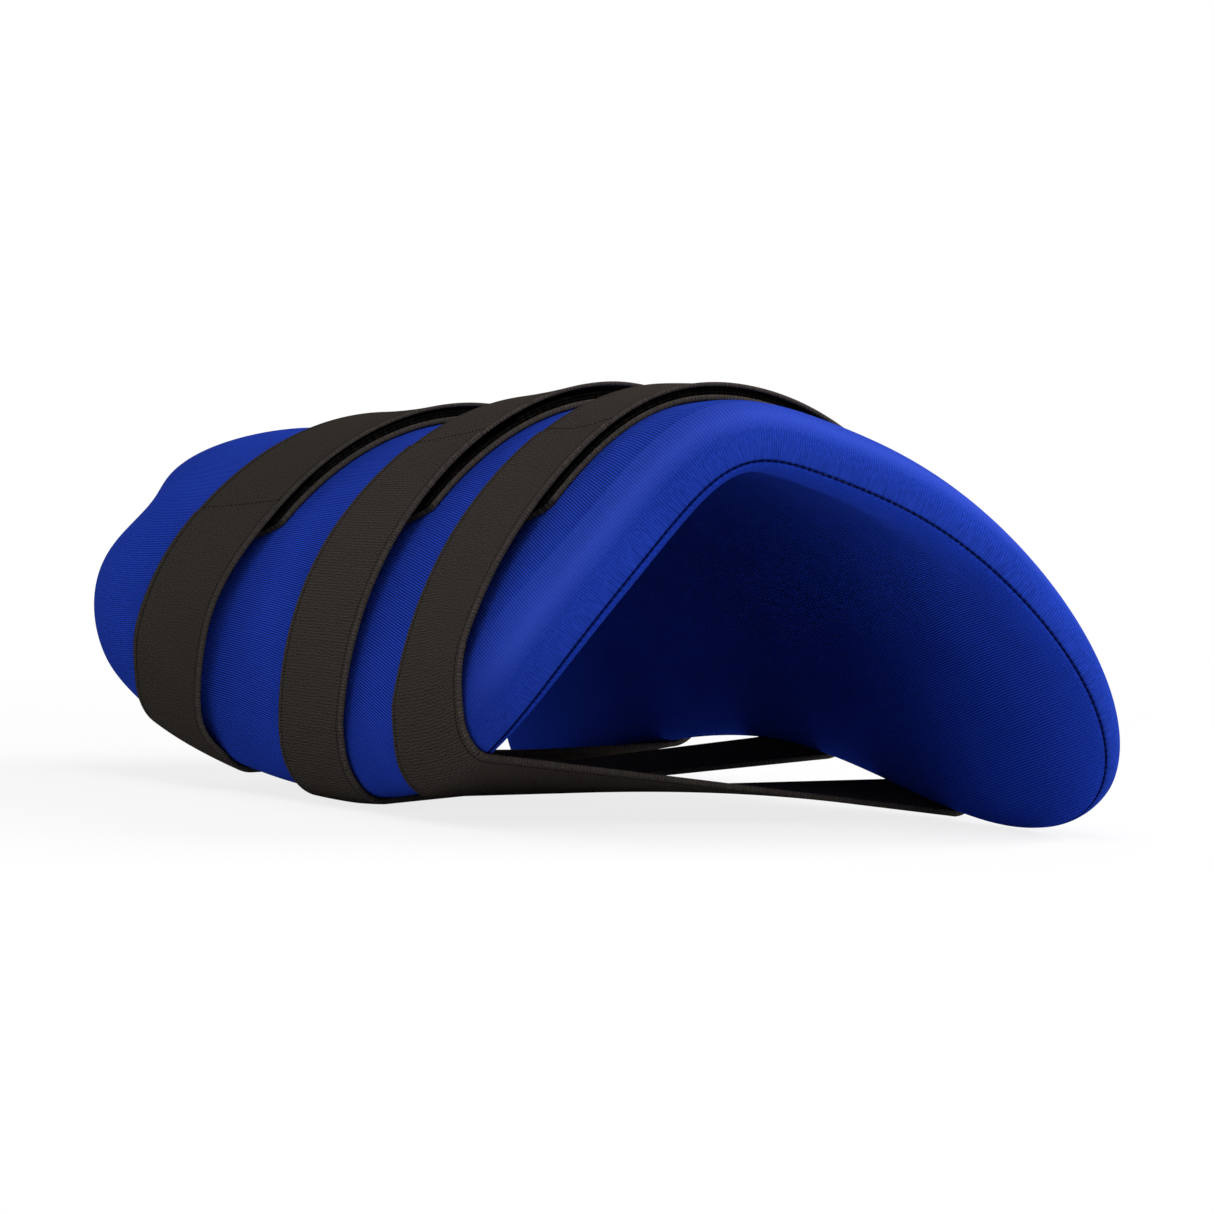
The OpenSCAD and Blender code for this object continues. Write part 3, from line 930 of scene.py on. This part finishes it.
COVER_CLOTH = KnitFinish(
    "cover_cloth", (4, 19, 75), (40, 71, 195), roughness=0.6, sheen=0.06, sheen_tint=(110, 140, 255), bump=0.1
)
LINING_CLOTH = KnitFinish(
    "lining_cloth",
    (3, 17, 77),
    (36, 69, 198),
    roughness=0.7,
    sheen=0.04,
    sheen_tint=(110, 140, 255),
    bump=0.1,
    slant=0.4,
    shoulder=5.5,
    stretch=0.0,
    lint=0.1,
)
WEBBING = WebbingFinish("webbing", (18, 17, 16), (79, 72, 67), roughness=0.8, bump=0.08)
SMOOTH_WEBBING = WebbingFinish(
    "webbing_smooth", (19, 18, 17), (72, 66, 61), roughness=0.8, bump=0.05, ribs=0.1
)
PILE = PileFinish("pile", (3, 3, 3), (20, 18, 17), roughness=0.95, bump=0.5)
SEAM_THREAD = SpunFinish("seam_thread", (1, 4, 40), (5, 12, 70), roughness=0.6, bump=0.05, scale=2500.0)
STRAP_THREAD = SpunFinish("strap_thread", (6, 5, 5), (16, 14, 12), roughness=0.6, bump=0.05, scale=2500.0)
FOAM = SpunFinish("foam", (150, 150, 142), (205, 205, 196), roughness=0.95, bump=0.4, scale=700.0)


@dataclass
class Pad:
    """The padded gutter: an outer cover and an inner lining, sewn together round a foam filling."""

    arch: Arch
    maker: Maker
    strap_places: tuple[float, float, float]
    strap_width: float = 40.0
    cloth: float = 1.2
    foam_gap: float = 0.5
    flat_rings: int = 56
    edge_rings: int = 28
    foam_flat_rings: int = 20
    foam_edge_rings: int = 8
    edge_spread: float = 1.5
    ditch_depth: float = 0.25
    ditch_width: float = 0.35
    end_square: float = 0.24
    end_start: float = 0.72
    end_blend: float = 0.25
    mean_radius: float = 88.0
    pressure: float = 4.0
    frames: int = 20
    held_fullness: float = 0.35
    strap_margin: float = 0.5
    strap_fade: float = 7.0
    swell_limit: float = 2.4
    sink_limit: float = 0.4
    stitch_pitch: float = 1.9
    stitch_size: tuple[float, float] = (1.3, 0.26)
    stitch_sink: float = 0.62
    stitch_foot: float = 8.0
    stitch_reach: float = 0.4
    pieces: list[bpy.types.Object] = field(default_factory=list)

    def outline(
        self, flat: int, edge: int, lift: float, inset: float, ditch: float
    ) -> tuple[Array, Array, Array]:
        """Square grid over the unfolded outline, whose rings follow the seam.

        Rings are even up to the shoulder. From there the ring at angle a of a quarter ellipse lies the edge
        length times 1 less cos a inside the seam, and is sin a full. At both ends the cover's sine and cosine
        are raised to a power below 1, which makes its shoulder squarer. A ditch draws the last of it in.

        Args:
            flat: rings up to the shoulder.
            edge: rings round the edge.
            lift: height of the layer above the arch.
            inset: how far the layer lies inside the face that shows.
            ditch: depth of the ditch at the seam.

        Returns:
            u, v and fullness, each a square array with v along the first axis.
        """
        rings = flat + edge
        k = np.arange(-rings, rings + 1)
        i, j = np.meshgrid(k, k)
        m = np.maximum(np.abs(i), np.abs(j))
        angle = np.pi / 2 * np.clip((rings - m) / edge, 0, 1) ** self.edge_spread
        arch = self.arch
        end = smooth((np.abs(j) / np.maximum(m, 1) - self.end_start) / self.end_blend)
        power = 1 - (self.end_square * end if lift > 0 else 0.0)
        full = np.sin(angle) ** power
        draw = inset + (arch.edge_round - inset) * (1 - np.maximum(np.cos(angle), 0) ** power)
        draw = draw + ditch * np.exp(-((lift * full / self.ditch_width) ** 2)) * (m > flat)
        even = np.minimum(m / flat, 1) * (1 - arch.edge_round / arch.outline_scale)
        ring = np.where(m <= flat, even, 1 - draw / arch.outline_scale)
        share = ring / np.where(m == 0, 1, arch.reach(i.astype(float), j.astype(float)))
        return i * share, j * share, full

    def swell(self, points: Array, normals: Array, free: Array, pressure: float) -> Array:
        """Swelling of a layer held at the seam and under the straps, by a cloth simulation with pressure.

        Args:
            points: square grid of points in metres.
            normals: unit normals of the grid.
            free: 0 where the layer is held and 1 where it is free.
            pressure: pressure on the layer.

        Returns:
            Height gained along the normals in millimetres, held within the limits.
        """
        side = len(points)
        made = self.maker.mesh("swelling", points, self.maker.quads(side, side))
        held = made.vertex_groups.new(name="held")
        held.add(np.flatnonzero(free.ravel() < 0.5).tolist(), 1.0, "REPLACE")
        cloth = made.modifiers.new("cloth", "CLOTH")
        kind = cloth.settings
        kind.quality = 6
        kind.mass = 0.2
        kind.tension_stiffness = 25.0
        kind.compression_stiffness = 25.0
        kind.shear_stiffness = 15.0
        kind.bending_stiffness = 2.0
        kind.vertex_group_mass = "held"
        kind.use_pressure = True
        kind.uniform_pressure_force = pressure
        kind.effector_weights.gravity = 0.0
        scene = bpy.context.scene
        for frame in range(1, self.frames + 1):
            scene.frame_set(frame)
        shown = made.evaluated_get(bpy.context.evaluated_depsgraph_get()).to_mesh()
        moved = np.empty(side * side * 3, np.float32)
        shown.vertices.foreach_get("co", moved)
        data = made.data
        bpy.data.objects.remove(made)
        bpy.data.meshes.remove(data)
        scene.frame_set(1)
        gain = ((moved.reshape(side, side, 3) - points) * normals).sum(-1) / MM
        LOG.info("swelling from %.2f to %.2f mm", gain.min(), gain.max())
        return np.clip(gain, -self.sink_limit, self.swell_limit)

    def finer(self, values: Array) -> Array:
        """A grid of values with a new value between each two, by the cubic through the four nearest.

        Args:
            values: values on a square grid.

        Returns:
            Values on the finer grid.
        """
        for _ in range(2):
            w = np.concatenate([values[:1], values, values[-1:]])
            between = (9 * (w[1:-2] + w[2:-1]) - w[:-3] - w[3:]) / 16
            out = np.empty((2 * len(values) - 1, values.shape[1]))
            out[0::2], out[1::2] = values, between
            values = out.T
        return values

    def clear_of_straps(self, y: Array) -> Array:
        """0 under a strap and 1 well clear of all of them."""
        away = np.min([np.abs(y - place) for place in self.strap_places], axis=0) - self.strap_width / 2
        return smooth((away + self.strap_margin) / self.strap_fade)

    def layer(self, name: str, side_sign: float, lift: float, pressure: float) -> bpy.types.Object:
        """The cover or the lining: a shell of cloth with the swelling of the padding behind it.

        Args:
            name: the piece's name.
            side_sign: 1 for the cover and -1 for the lining.
            lift: height of its face above the arch.
            pressure: pressure of the padding in the simulation, or 0 for none.

        Returns:
            The piece.
        """
        arch = self.arch
        u, v, full = self.outline(self.flat_rings, self.edge_rings, lift, 0.0, self.ditch_depth)
        gain = np.zeros_like(u)
        if pressure:
            coarse = (slice(None, None, 2), slice(None, None, 2))
            cu, cv, cf = u[coarse], v[coarse], full[coarse]
            phi, y = arch.unfold(cu, cv)
            free = self.clear_of_straps(y) * (cf > self.held_fullness)
            start = arch.skin(cu, cv, np.full_like(cu, lift), cf)
            normal = arch.turn(arch.outward(phi, y) * side_sign)
            gain = self.finer(self.swell(arch.settle(start), normal, free, pressure))
        face = arch.skin(u, v, lift + side_sign * gain, full)
        bu, bv, back_full = self.outline(self.flat_rings, self.edge_rings, lift, self.cloth, self.ditch_depth)
        back = arch.skin(bu, bv, lift + side_sign * (gain - self.cloth), back_full)
        over, under = (face, back) if side_sign > 0 else (back, face)
        side = len(u)
        faces = self.maker.slab(side, side)
        corner = faces.ravel()
        grain = np.tile(self.grain(u, v).reshape(-1, 2), (2, 1))[corner]
        seam = self.along_seam(u, v, lift, full)[corner]
        # A face that lies across the seam line's start goes on past its full length instead of running back.
        length = seam[:, 0].reshape(-1, 4)
        total = length.max() * 1.0001
        crossing = (length.max(1) - length.min(1) > total / 2)[:, None] & (length < total / 2)
        seam[:, 0] = (length + np.where(crossing, total, 0.0)).ravel()
        points = arch.settle(np.concatenate([over.reshape(-1, 3), under.reshape(-1, 3)]))
        return self.maker.mesh(name, points, faces, {"cloth": grain * MM, "seam": seam * MM}, crease=50.0)

    def grain(self, u: Array, v: Array) -> Array:
        """Place on the cloth: angle from the crown times a mean radius, and length along the arm."""
        phi, y = self.arch.unfold(u, v)
        return np.stack([phi * self.mean_radius, y], -1)

    def along_seam(self, u: Array, v: Array, lift: float, full: Array) -> Array:
        """Length along the seam and distance from it, round the edge and on from the shoulder.

        Args:
            u: place across of each point of a layer's grid.
            v: place along.
            lift: height of the layer above the arch.
            full: fullness of the padding.

        Returns:
            Pairs in millimetres for both grids of a slab.
        """
        side = len(u)
        k = np.arange(side) - (side - 1) // 2
        i, j = np.meshgrid(k, k)
        m = np.maximum(np.maximum(np.abs(i), np.abs(j)), 1)
        south, east, north = j == -m, i == m, j == m
        turn = np.where(south, i / m + 1, np.where(east, j / m + 3, np.where(north, 5 - i / m, 7 - j / m)))
        sums = lengths_round(self.seam_line(0.0))
        length = np.interp(turn % 8, np.linspace(0, 8, len(sums)), sums)
        inside = (1 - self.arch.reach(u, v)) * self.arch.outline_scale
        away = abs(lift) * full + np.maximum(0.0, inside - self.arch.edge_round)
        return np.tile(np.stack([length, away], -1).reshape(-1, 2), (2, 1))

    def seam_line(self, inside: float, count: int = 2000) -> Array:
        """Points of the seam round the edge, from the elbow end's left corner, drawn in by a distance.

        Args:
            inside: distance inside the outline in millimetres.
            count: number of points.

        Returns:
            Points in the arch's axes.
        """
        t = np.arange(count) * 8.0 / count
        s, leg = t % 2 - 1, (t // 2).astype(int)
        u = np.choose(leg, [s, np.ones_like(s), -s, -np.ones_like(s)])
        v = np.choose(leg, [-np.ones_like(s), s, np.ones_like(s), -s])
        share = (1 - inside / self.arch.outline_scale) / self.arch.reach(u, v)
        return self.arch.point(*self.arch.unfold(u * share, v * share))

    def stitches(self) -> bpy.types.Object:
        """Stitches along the seam, in the ditch between cover and lining.

        Returns:
            The piece.
        """
        line = self.seam_line(self.ditch_depth * self.stitch_sink)
        inner = self.seam_line(self.stitch_foot)
        sums = lengths_round(line)
        count = int(sums[-1] / self.stitch_pitch)
        where = (np.arange(count) + 0.5) * sums[-1] / count
        ring, depth = np.vstack([line, line[:1]]), np.vstack([inner, inner[:1]])
        middle = along_line(where, sums, ring)
        ahead, behind = (where + self.stitch_reach) % sums[-1], (where - self.stitch_reach) % sums[-1]
        along = self.arch.turn(along_line(ahead, sums, ring) - along_line(behind, sums, ring))
        up = square_to(self.arch.turn(middle - along_line(where, sums, depth)), along)
        return self.maker.threads("seam_stitches", self.arch.settle(middle), along, up, *self.stitch_size)

    def filling(self) -> bpy.types.Object:
        """The foam between cover and lining, in the same rings but fewer of them.

        Returns:
            The piece.
        """
        arch, inset = self.arch, self.cloth + self.foam_gap
        grids = []
        for lift in (arch.outer_pad - inset, -arch.inner_pad + inset):
            rings = (self.foam_flat_rings, self.foam_edge_rings)
            u, v, full = self.outline(*rings, lift, inset + self.ditch_depth, 0.0)
            grids.append(arch.skin(u, v, np.full_like(u, lift), full))
        side = len(grids[0])
        points = arch.settle(np.concatenate([g.reshape(-1, 3) for g in grids]))
        return self.maker.mesh("foam_filling", points, self.maker.slab(side, side), crease=60.0)

    def build(self) -> None:
        """Make the pad's pieces and dress them."""
        cover = self.layer("cover", 1.0, self.arch.outer_pad, self.pressure)
        lining = self.layer("lining", -1.0, -self.arch.inner_pad, 0.0)
        filling, stitches = self.filling(), self.stitches()
        for piece, finish, node, slot, fill in (
            (cover, COVER_CLOTH, "outer_cover", "cover_cloth", 0.9),
            (lining, LINING_CLOTH, "inner_lining", "lining_cloth", 0.7),
            (filling, FOAM, "foam_core", "foam", 0.9),
        ):
            piece.data.materials.append(finish.material())
            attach(piece, "guard")
            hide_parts(node)
        stitches.data.materials.append(SEAM_THREAD.material())
        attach(stitches, "guard")
        self.pieces = [cover, lining, filling, stitches]


@dataclass(frozen=True)
class Cut:
    """One layer of a strap: its height above the cover, its thickness, and how its ends are cut."""

    base: float
    thick: float
    round_first: bool = False
    round_last: bool = False
    slit: float = 0.0
    trim: float = 0.0
    steps: int = 150


class Layer(Enum):
    """The layers of a strap from the cover outwards."""

    BAND = Cut(0.4, 1.6, round_first=True, steps=420)
    LOOP = Cut(2.05, 1.0, round_first=True, trim=0.9)
    HOOK = Cut(3.1, 0.9, round_last=True, trim=1.1, steps=130)
    TAB = Cut(4.05, 1.2, round_last=True, slit=0.3)


@dataclass
class Strap:
    """One elastic strap: a band taut round the pad, and a tab that closes over its upper end."""

    name: str
    y: float
    seam_angle: float
    arch: Arch
    maker: Maker
    smooth_cloth: bool = False
    tab_lift: float = 0.2
    band_lift: float = 0.4
    width: float = 40.0
    band_end: float = 140.0
    tab_end: float = 48.0
    hook_setback: float = 8.0
    hook_margin: float = 4.0
    settle_angle: float = 44.0
    lift_setback: float = 12.0
    lift_spread: float = 30.0
    seam_spread: float = 25.0
    side_angle: float = 180.0
    side_spread: float = 40.0
    end_round: float = 12.0
    end_share: float = 0.98
    slit_run: float = 5.0
    edge_roll: float = 0.4
    groove_depth: float = 0.06
    groove_inside: float = 2.1
    groove_width: float = 0.25
    stitch_inside: float = 1.6
    stitch_margin: float = 1.8
    stitch_pitch: float = 2.0
    stitch_size: tuple[float, float] = (1.4, 0.26)
    turn_weight: float = 0.8
    turns: int = 720
    section_steps: int = 400
    line_steps: int = 400
    bend_length: float = 14.0
    pieces: list[bpy.types.Object] = field(default_factory=list)

    def span(self, layer: Layer) -> tuple[float, float]:
        """Facing angles of a layer's first and last ends, its upper end being a full turn on.

        Args:
            layer: the layer.

        Returns:
            The two angles in degrees.
        """
        seam, tab_end = 360 + self.seam_angle, 360 + self.tab_end
        spans = {
            Layer.BAND: (360 + self.band_end, self.seam_angle),
            Layer.LOOP: (360 + self.band_end, tab_end - self.hook_margin),
            Layer.HOOK: (seam - self.hook_setback, tab_end + self.hook_margin),
            Layer.TAB: (seam, tab_end),
        }
        return spans[layer]

    def lanes(self, half: float) -> Array:
        """Places across the webbing, closer at the edges and at the grooves beside them.

        Args:
            half: half the layer's width.

        Returns:
            Places from the near edge to the far one.
        """
        edge = np.array([0.0, 0.05, 0.18, 0.4, 0.75, 1.3, 1.7, 1.9, 2.1, 2.3, 2.5, 3.2, 5.0, 7.5, 11.0, 15.0])
        left = -half + edge
        return np.concatenate([left, [0.0], -left[::-1]])

    def tables(self, lane: float) -> dict[str, Array]:
        """The taut line of one lane: the furthest points of the cover's section towards each facing angle.

        The top of a parabola through the furthest of the section's points and its two neighbours is taken.
        A place counts the length and 0.8 mm for each degree of turn, so that tight bends get their share.

        Args:
            lane: place across the webbing.

        Returns:
            Facing angles, places, x and z, and plain lengths.
        """
        points = self.arch.section(self.y + lane, self.section_steps)
        angles = np.linspace(360 + self.band_end, self.seam_angle, self.turns + 1)
        facing = np.radians(angles)
        along = points @ np.stack([np.cos(facing), np.sin(facing)])
        m = np.clip(along.argmax(0), 1, len(points) - 2)
        n = np.arange(len(angles))
        before, at, after = along[m - 1, n], along[m, n], along[m + 1, n]
        bend = before - 2 * at + after
        t = np.where(bend < 0, (before - after) / np.where(bend < 0, 2 * bend, 1), 0)
        t = np.clip(t, -1, 1)[:, None]
        a, b, c = points[m - 1], points[m], points[m + 1]
        xz = b + t / 2 * (c - a) + t * t / 2 * (a - 2 * b + c)
        run = np.linalg.norm(np.diff(xz, axis=0), axis=1)
        share = self.turn_weight * (angles[0] - angles[-1]) / self.turns
        return {
            "angle": angles,
            "place": running(run + share),
            "length": running(run),
            "x": xz[:, 0],
            "z": xz[:, 1],
        }

    def stand_off(self, layer: Layer, angle: Array, lane: float) -> Array:
        """How far a layer stands off: the band starts at the tab's height and settles past its upper end.

        The edge nearer to the elbow is lifted a little, from part way along the tab to the guard's side.

        Args:
            layer: the layer.
            angle: facing angles.
            lane: place across the webbing.

        Returns:
            Extra heights.
        """
        if layer in (Layer.LOOP, Layer.HOOK):
            return np.zeros_like(angle)
        near = (0.5 - lane / self.width) ** 2
        if layer is Layer.TAB:
            from_end = angle - 360 - self.tab_end
            return self.tab_lift * near * smooth((from_end - self.lift_setback) / self.lift_spread)
        settled = smooth((angle - self.band_end) / self.settle_angle)
        start = (Layer.TAB.value.base - Layer.BAND.value.base) * (1 - settled)
        past_seam = smooth((angle - self.seam_angle) / self.seam_spread)
        lift = self.tab_lift + (self.band_lift - self.tab_lift) * past_seam
        return start + lift * near * (1 - smooth((angle - self.side_angle) / self.side_spread))

    def surface(self, layer: Layer, lane: float, share: Array) -> tuple[Array, Array, Array]:
        """The line of one lane of a layer, as points on the cover, facing vectors and lengths.

        Args:
            layer: the layer.
            lane: place across the webbing.
            share: places along it from 0 to 1.

        Returns:
            Points at the layer's base, unit facing vectors, and lengths along the strap.
        """
        cut, table = layer.value, self.tables(lane)
        first, last = np.interp(-np.array(self.span(layer)), -table["angle"], table["place"])
        place = first + (last - first) * share
        s = self.end_share * lane / (self.width / 2)
        drawn = self.end_round * (1 - math.sqrt(max(0.0, 1 - s * s)))
        if cut.round_first:
            place = place + drawn * np.maximum(0, 1 - (place - first) / (2 * self.end_round))
        if cut.round_last:
            place = place - drawn * np.maximum(0, 1 - (last - place) / (2 * self.end_round))
        place = place + cut.slit * np.maximum(0, 1 - (place - first) / self.slit_run)
        angle = np.interp(place, table["place"], table["angle"])
        x, z = (np.interp(place, table["place"], table[key]) for key in ("x", "z"))
        facing = np.stack([np.cos(np.radians(angle)), np.zeros_like(angle), np.sin(np.radians(angle))], -1)
        height = cut.base + self.stand_off(layer, angle, lane)
        points = np.stack([x, np.full_like(x, self.y + lane), z], -1) + facing * height[:, None]
        return points, facing, np.interp(place, table["place"], table["length"])

    def ribbon(self, layer: Layer) -> bpy.types.Object:
        """One layer as a closed band: a flat profile with rounded, beaded edges carried along the taut lines.

        Args:
            layer: the layer to make.

        Returns:
            The piece.
        """
        cut = layer.value
        half = self.width / 2 - cut.trim
        lanes = self.lanes(half)
        share = np.linspace(0, 1, cut.steps + 1)
        rows = [self.surface(layer, float(lane), share) for lane in lanes]
        base, facing, length = (np.stack(list(column), 1) for column in zip(*rows))
        edge = np.clip((np.abs(lanes) - (half - self.edge_roll)) / self.edge_roll, 0, 0.99)
        body = np.sqrt(1 - edge**2) * cut.thick / 2
        beside = (half - np.abs(lanes) - self.groove_inside) / self.groove_width
        groove = self.groove_depth * np.exp(-(beside**2)) * (cut.trim == 0)
        middle = base + facing * cut.thick / 2
        top = middle + facing * (body - groove)[None, :, None]
        low = middle - facing * body[None, :, None]
        loop = np.concatenate([top, low[:, ::-1]], 1)
        count, wide = loop.shape[1], len(lanes)
        number = np.arange((cut.steps + 1) * count).reshape(cut.steps + 1, count)
        after = np.roll(number, -1, 1)
        tube = np.stack([number[:-1], number[1:], after[1:], after[:-1]], -1).reshape(-1, 4)
        upper = np.arange(wide)
        lower = np.arange(count - 1, wide - 1, -1)
        cap = np.stack([upper[:-1], upper[1:], lower[1:], lower[:-1]], 1)
        faces = np.concatenate([tube, cap, cap[:, ::-1] + cut.steps * count])
        across = np.broadcast_to(np.concatenate([lanes, lanes[::-1]]), (cut.steps + 1, count))
        place = np.stack([np.concatenate([length, length[:, ::-1]], 1), across], -1)
        corner = faces.ravel()
        uv = place.reshape(-1, 2)[corner] * MM
        name = f"{self.name}_{layer.name.lower()}"
        return self.maker.mesh(name, self.arch.settle(loop), faces, {"strap": uv}, crease=60.0)

    def cross_stitches(self) -> bpy.types.Object:
        """A row of stitches across the strap, near the line where the tab is sewn to the band.

        Returns:
            The piece.
        """
        half = self.width / 2 - self.stitch_margin
        middles, ups = [], []
        for lane in np.arange(-half, half, self.stitch_pitch):
            points, facing, length = self.tab_line(float(lane))
            want = length[0] + self.stitch_inside
            up = along_line(want, length, facing)
            middles.append(along_line(want, length, points) + up * Layer.TAB.value.thick)
            ups.append(up)
        up, middle = self.arch.turn(np.array(ups)), self.arch.settle(np.array(middles))
        along = square_to(np.gradient(middle, axis=0), up)
        return self.maker.threads(f"{self.name}_tab_stitches", middle, along, up, *self.stitch_size)

    def tab_line(self, lane: float) -> tuple[Array, Array, Array]:
        """The line of one lane of the tab in even steps: points, facing vectors and lengths."""
        return self.surface(Layer.TAB, lane, np.linspace(0, 1, self.line_steps + 1))

    def bend_points(self) -> tuple[Vector, Vector]:
        """Points on the tab between which it bends when it is peeled, from the seam on.

        Returns:
            The first and the last point of the bend in metres.
        """
        points, _, length = self.tab_line(0.0)
        ends = along_line(length[0] + np.array([0.0, self.bend_length]), length, points)
        start, end = self.arch.settle(ends)
        return Vector(start), Vector(end)

    def build(self) -> None:
        """Make the strap's layers and dress them."""
        webbing = SMOOTH_WEBBING if self.smooth_cloth else WEBBING
        cloth, pile = webbing.material(), PILE.material()
        thread = STRAP_THREAD.material()
        closure = f"{self.name}_closure"
        start, end = self.bend_points()
        for layer, node in (
            (Layer.BAND, "band"),
            (Layer.LOOP, "loop_facing"),
            (Layer.HOOK, "hook_facing"),
            (Layer.TAB, "tab"),
        ):
            piece = self.ribbon(layer)
            soft = layer in (Layer.LOOP, Layer.HOOK)
            piece.data.materials.append(pile if soft else cloth)
            if layer is Layer.TAB:
                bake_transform(piece)
            else:
                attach(piece, closure if layer is Layer.HOOK else "guard")
            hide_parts(f"{self.name}_{node}")
            self.pieces.append(piece)
        row = self.cross_stitches()
        row.data.materials.append(thread)
        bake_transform(row)
        self.pieces.append(row)


@dataclass(frozen=True)
class Lamp:
    """A soft square lamp: its side and height in degrees, its power in watts and its width in metres."""

    name: str
    azimuth: float
    elevation: float
    power: float
    size: float = 0.9


@dataclass
class Studio:
    """Camera, floor and lights round the guard."""

    camera_place: tuple[float, float, float] = (-0.62328, -1.08607, 0.09208)
    azimuth: float = -30.068
    elevation: float = 1.6
    roll: float = 1.243
    lens: float = 128.614
    sensor: float = 36.0
    aim: tuple[float, float, float] = (0.0074, 0.0034, 0.0569)
    lamp_distance: float = 1.6
    lamps: tuple[Lamp, ...] = (
        Lamp("key_light", -35.0, 55.0, 9.0),
        Lamp("front_light", -5.0, 40.0, 10.0),
        Lamp("right_light", 70.0, 30.0, 25.0),
        Lamp("left_light", -70.0, 10.0, 3.0),
        Lamp("back_light", 200.0, 30.0, 9.0, 1.2),
    )
    floor_half: float = 30.0
    floor_height: float = -0.0004
    floor_tone: float = 0.8
    glow_reach: tuple[float, float] = (0.2, 0.8)
    glow_share: tuple[float, float] = (0.8, 1.0)
    even_tint: Four = (0.95, 0.97, 1.0, 1.0)
    even_strength: float = 0.1
    white: Four = (1.0, 1.0, 1.0, 1.0)

    def camera(self) -> None:
        """The camera at the photograph's place: back is turned by azimuth and elevation, then rolled."""
        a, r = math.radians(self.azimuth), math.radians(self.roll)
        back = bearing(self.azimuth, self.elevation)
        right = Vector((math.cos(a), math.sin(a), 0.0))
        up = back.cross(right)
        right, up = right * math.cos(r) + up * math.sin(r), up * math.cos(r) - right * math.sin(r)
        data = bpy.data.cameras.new("camera")
        data.lens, data.sensor_width = self.lens, self.sensor
        data.clip_start, data.clip_end = 0.01, 100.0
        made = linked("camera", data)
        turned = Matrix((right, up, back)).transposed().to_4x4()
        made.matrix_world = Matrix.Translation(self.camera_place) @ turned
        bpy.context.scene.camera = made

    def light(self, lamp: Lamp) -> None:
        """Set up a lamp that looks at the guard.

        Args:
            lamp: the lamp.
        """
        back = bearing(lamp.azimuth, lamp.elevation)
        data = bpy.data.lights.new(lamp.name, "AREA")
        data.shape, data.size, data.energy = "SQUARE", lamp.size, lamp.power
        made = linked(lamp.name, data)
        made.location = Vector(self.aim) + back * self.lamp_distance
        made.rotation_mode = "QUATERNION"
        made.rotation_quaternion = (-back).to_track_quat("-Z", "Y")

    def backdrop(self, tree: Tree, white: object, plain: object) -> bpy.types.NodeSocket:
        """What shows white to the camera, to gloss and through glass, and plain to everything else.

        Args:
            tree: the tree of a material or world.
            white: the shader that shows white.
            plain: the shader that lights the guard.

        Returns:
            The mixed shader's socket.
        """
        path = tree.put("ShaderNodeLightPath")
        seen = tree.math("MAXIMUM", path.outputs["Is Camera Ray"], path.outputs["Is Transmission Ray"])
        seen = tree.math("MAXIMUM", seen, path.outputs["Is Glossy Ray"])
        return tree.put("ShaderNodeMixShader", {0: seen, 1: plain, 2: white}).outputs[0]

    def floor(self) -> None:
        """A wide pale floor that keeps the guard's shadow near it and glows white further off."""
        data = bpy.data.meshes.new("floor")
        s, z = self.floor_half, self.floor_height
        data.from_pydata([(-s, -s, z), (s, -s, z), (s, s, z), (-s, s, z)], [], [(0, 1, 2, 3)])
        made = linked("floor", data)
        pale = bpy.data.materials.new("pale_floor")
        tree = Tree.of(pale)
        shader = tree.nodes["Principled BSDF"]
        shader.inputs["Base Color"].default_value = (self.floor_tone, self.floor_tone, self.floor_tone, 1.0)
        shader.inputs["Roughness"].default_value = 0.9
        glow = tree.put("ShaderNodeEmission", {"Color": self.white, "Strength": 1.0}).outputs[0]
        place = tree.put("ShaderNodeTexCoord").outputs["Object"]
        away = tree.put("ShaderNodeVectorMath", {0: place}, operation="LENGTH").outputs["Value"]
        share = tree.ramp(away, *self.glow_reach, *self.glow_share)
        half = tree.put("ShaderNodeMixShader", {0: share, 1: shader.outputs[0], 2: glow}).outputs[0]
        surface = tree.nodes["Material Output"].inputs["Surface"]
        tree.join(self.backdrop(tree, half, shader.outputs[0]), surface)
        data.materials.append(pale)

    def world(self) -> None:
        """A white backdrop, with a low even light on the guard."""
        made = bpy.data.worlds.new("studio")
        bpy.context.scene.world = made
        tree = Tree.of(made)
        even = tree.nodes["Background"]
        even.inputs["Color"].default_value = self.even_tint
        even.inputs["Strength"].default_value = self.even_strength
        white = tree.put("ShaderNodeBackground", {"Color": self.white, "Strength": 1.0}).outputs[0]
        surface = tree.nodes["World Output"].inputs["Surface"]
        tree.join(self.backdrop(tree, white, even.outputs[0]), surface)

    def build(self) -> None:
        """Set up the studio."""
        bpy.context.scene.view_settings.view_transform = "Standard"
        self.camera()
        self.floor()
        self.world()
        for lamp in self.lamps:
            self.light(lamp)


def main() -> None:
    """Build the studio, the pad and the straps, and report each piece."""
    logging.basicConfig(level=logging.INFO, format="%(name)s: %(message)s")
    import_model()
    arch, maker = Arch(), Maker()
    length = arch.pad_length
    straps = [
        Strap("wrist", 0.276 * length, 135.0, arch, maker, smooth_cloth=True, tab_lift=0.8, band_lift=4.0),
        Strap("middle", 0.012 * length, 123.0, arch, maker, tab_lift=1.5, band_lift=0.8),
        Strap("elbow", -0.228 * length, 123.0, arch, maker),
    ]
    pad = Pad(arch, maker, tuple(strap.y for strap in straps))
    Studio().build()
    for assembly in (pad, *straps):
        assembly.build()
        for piece in assembly.pieces:
            LOG.info("%s: %d faces", piece.name, len(piece.data.polygons))


if __name__ == "__main__":
    main()
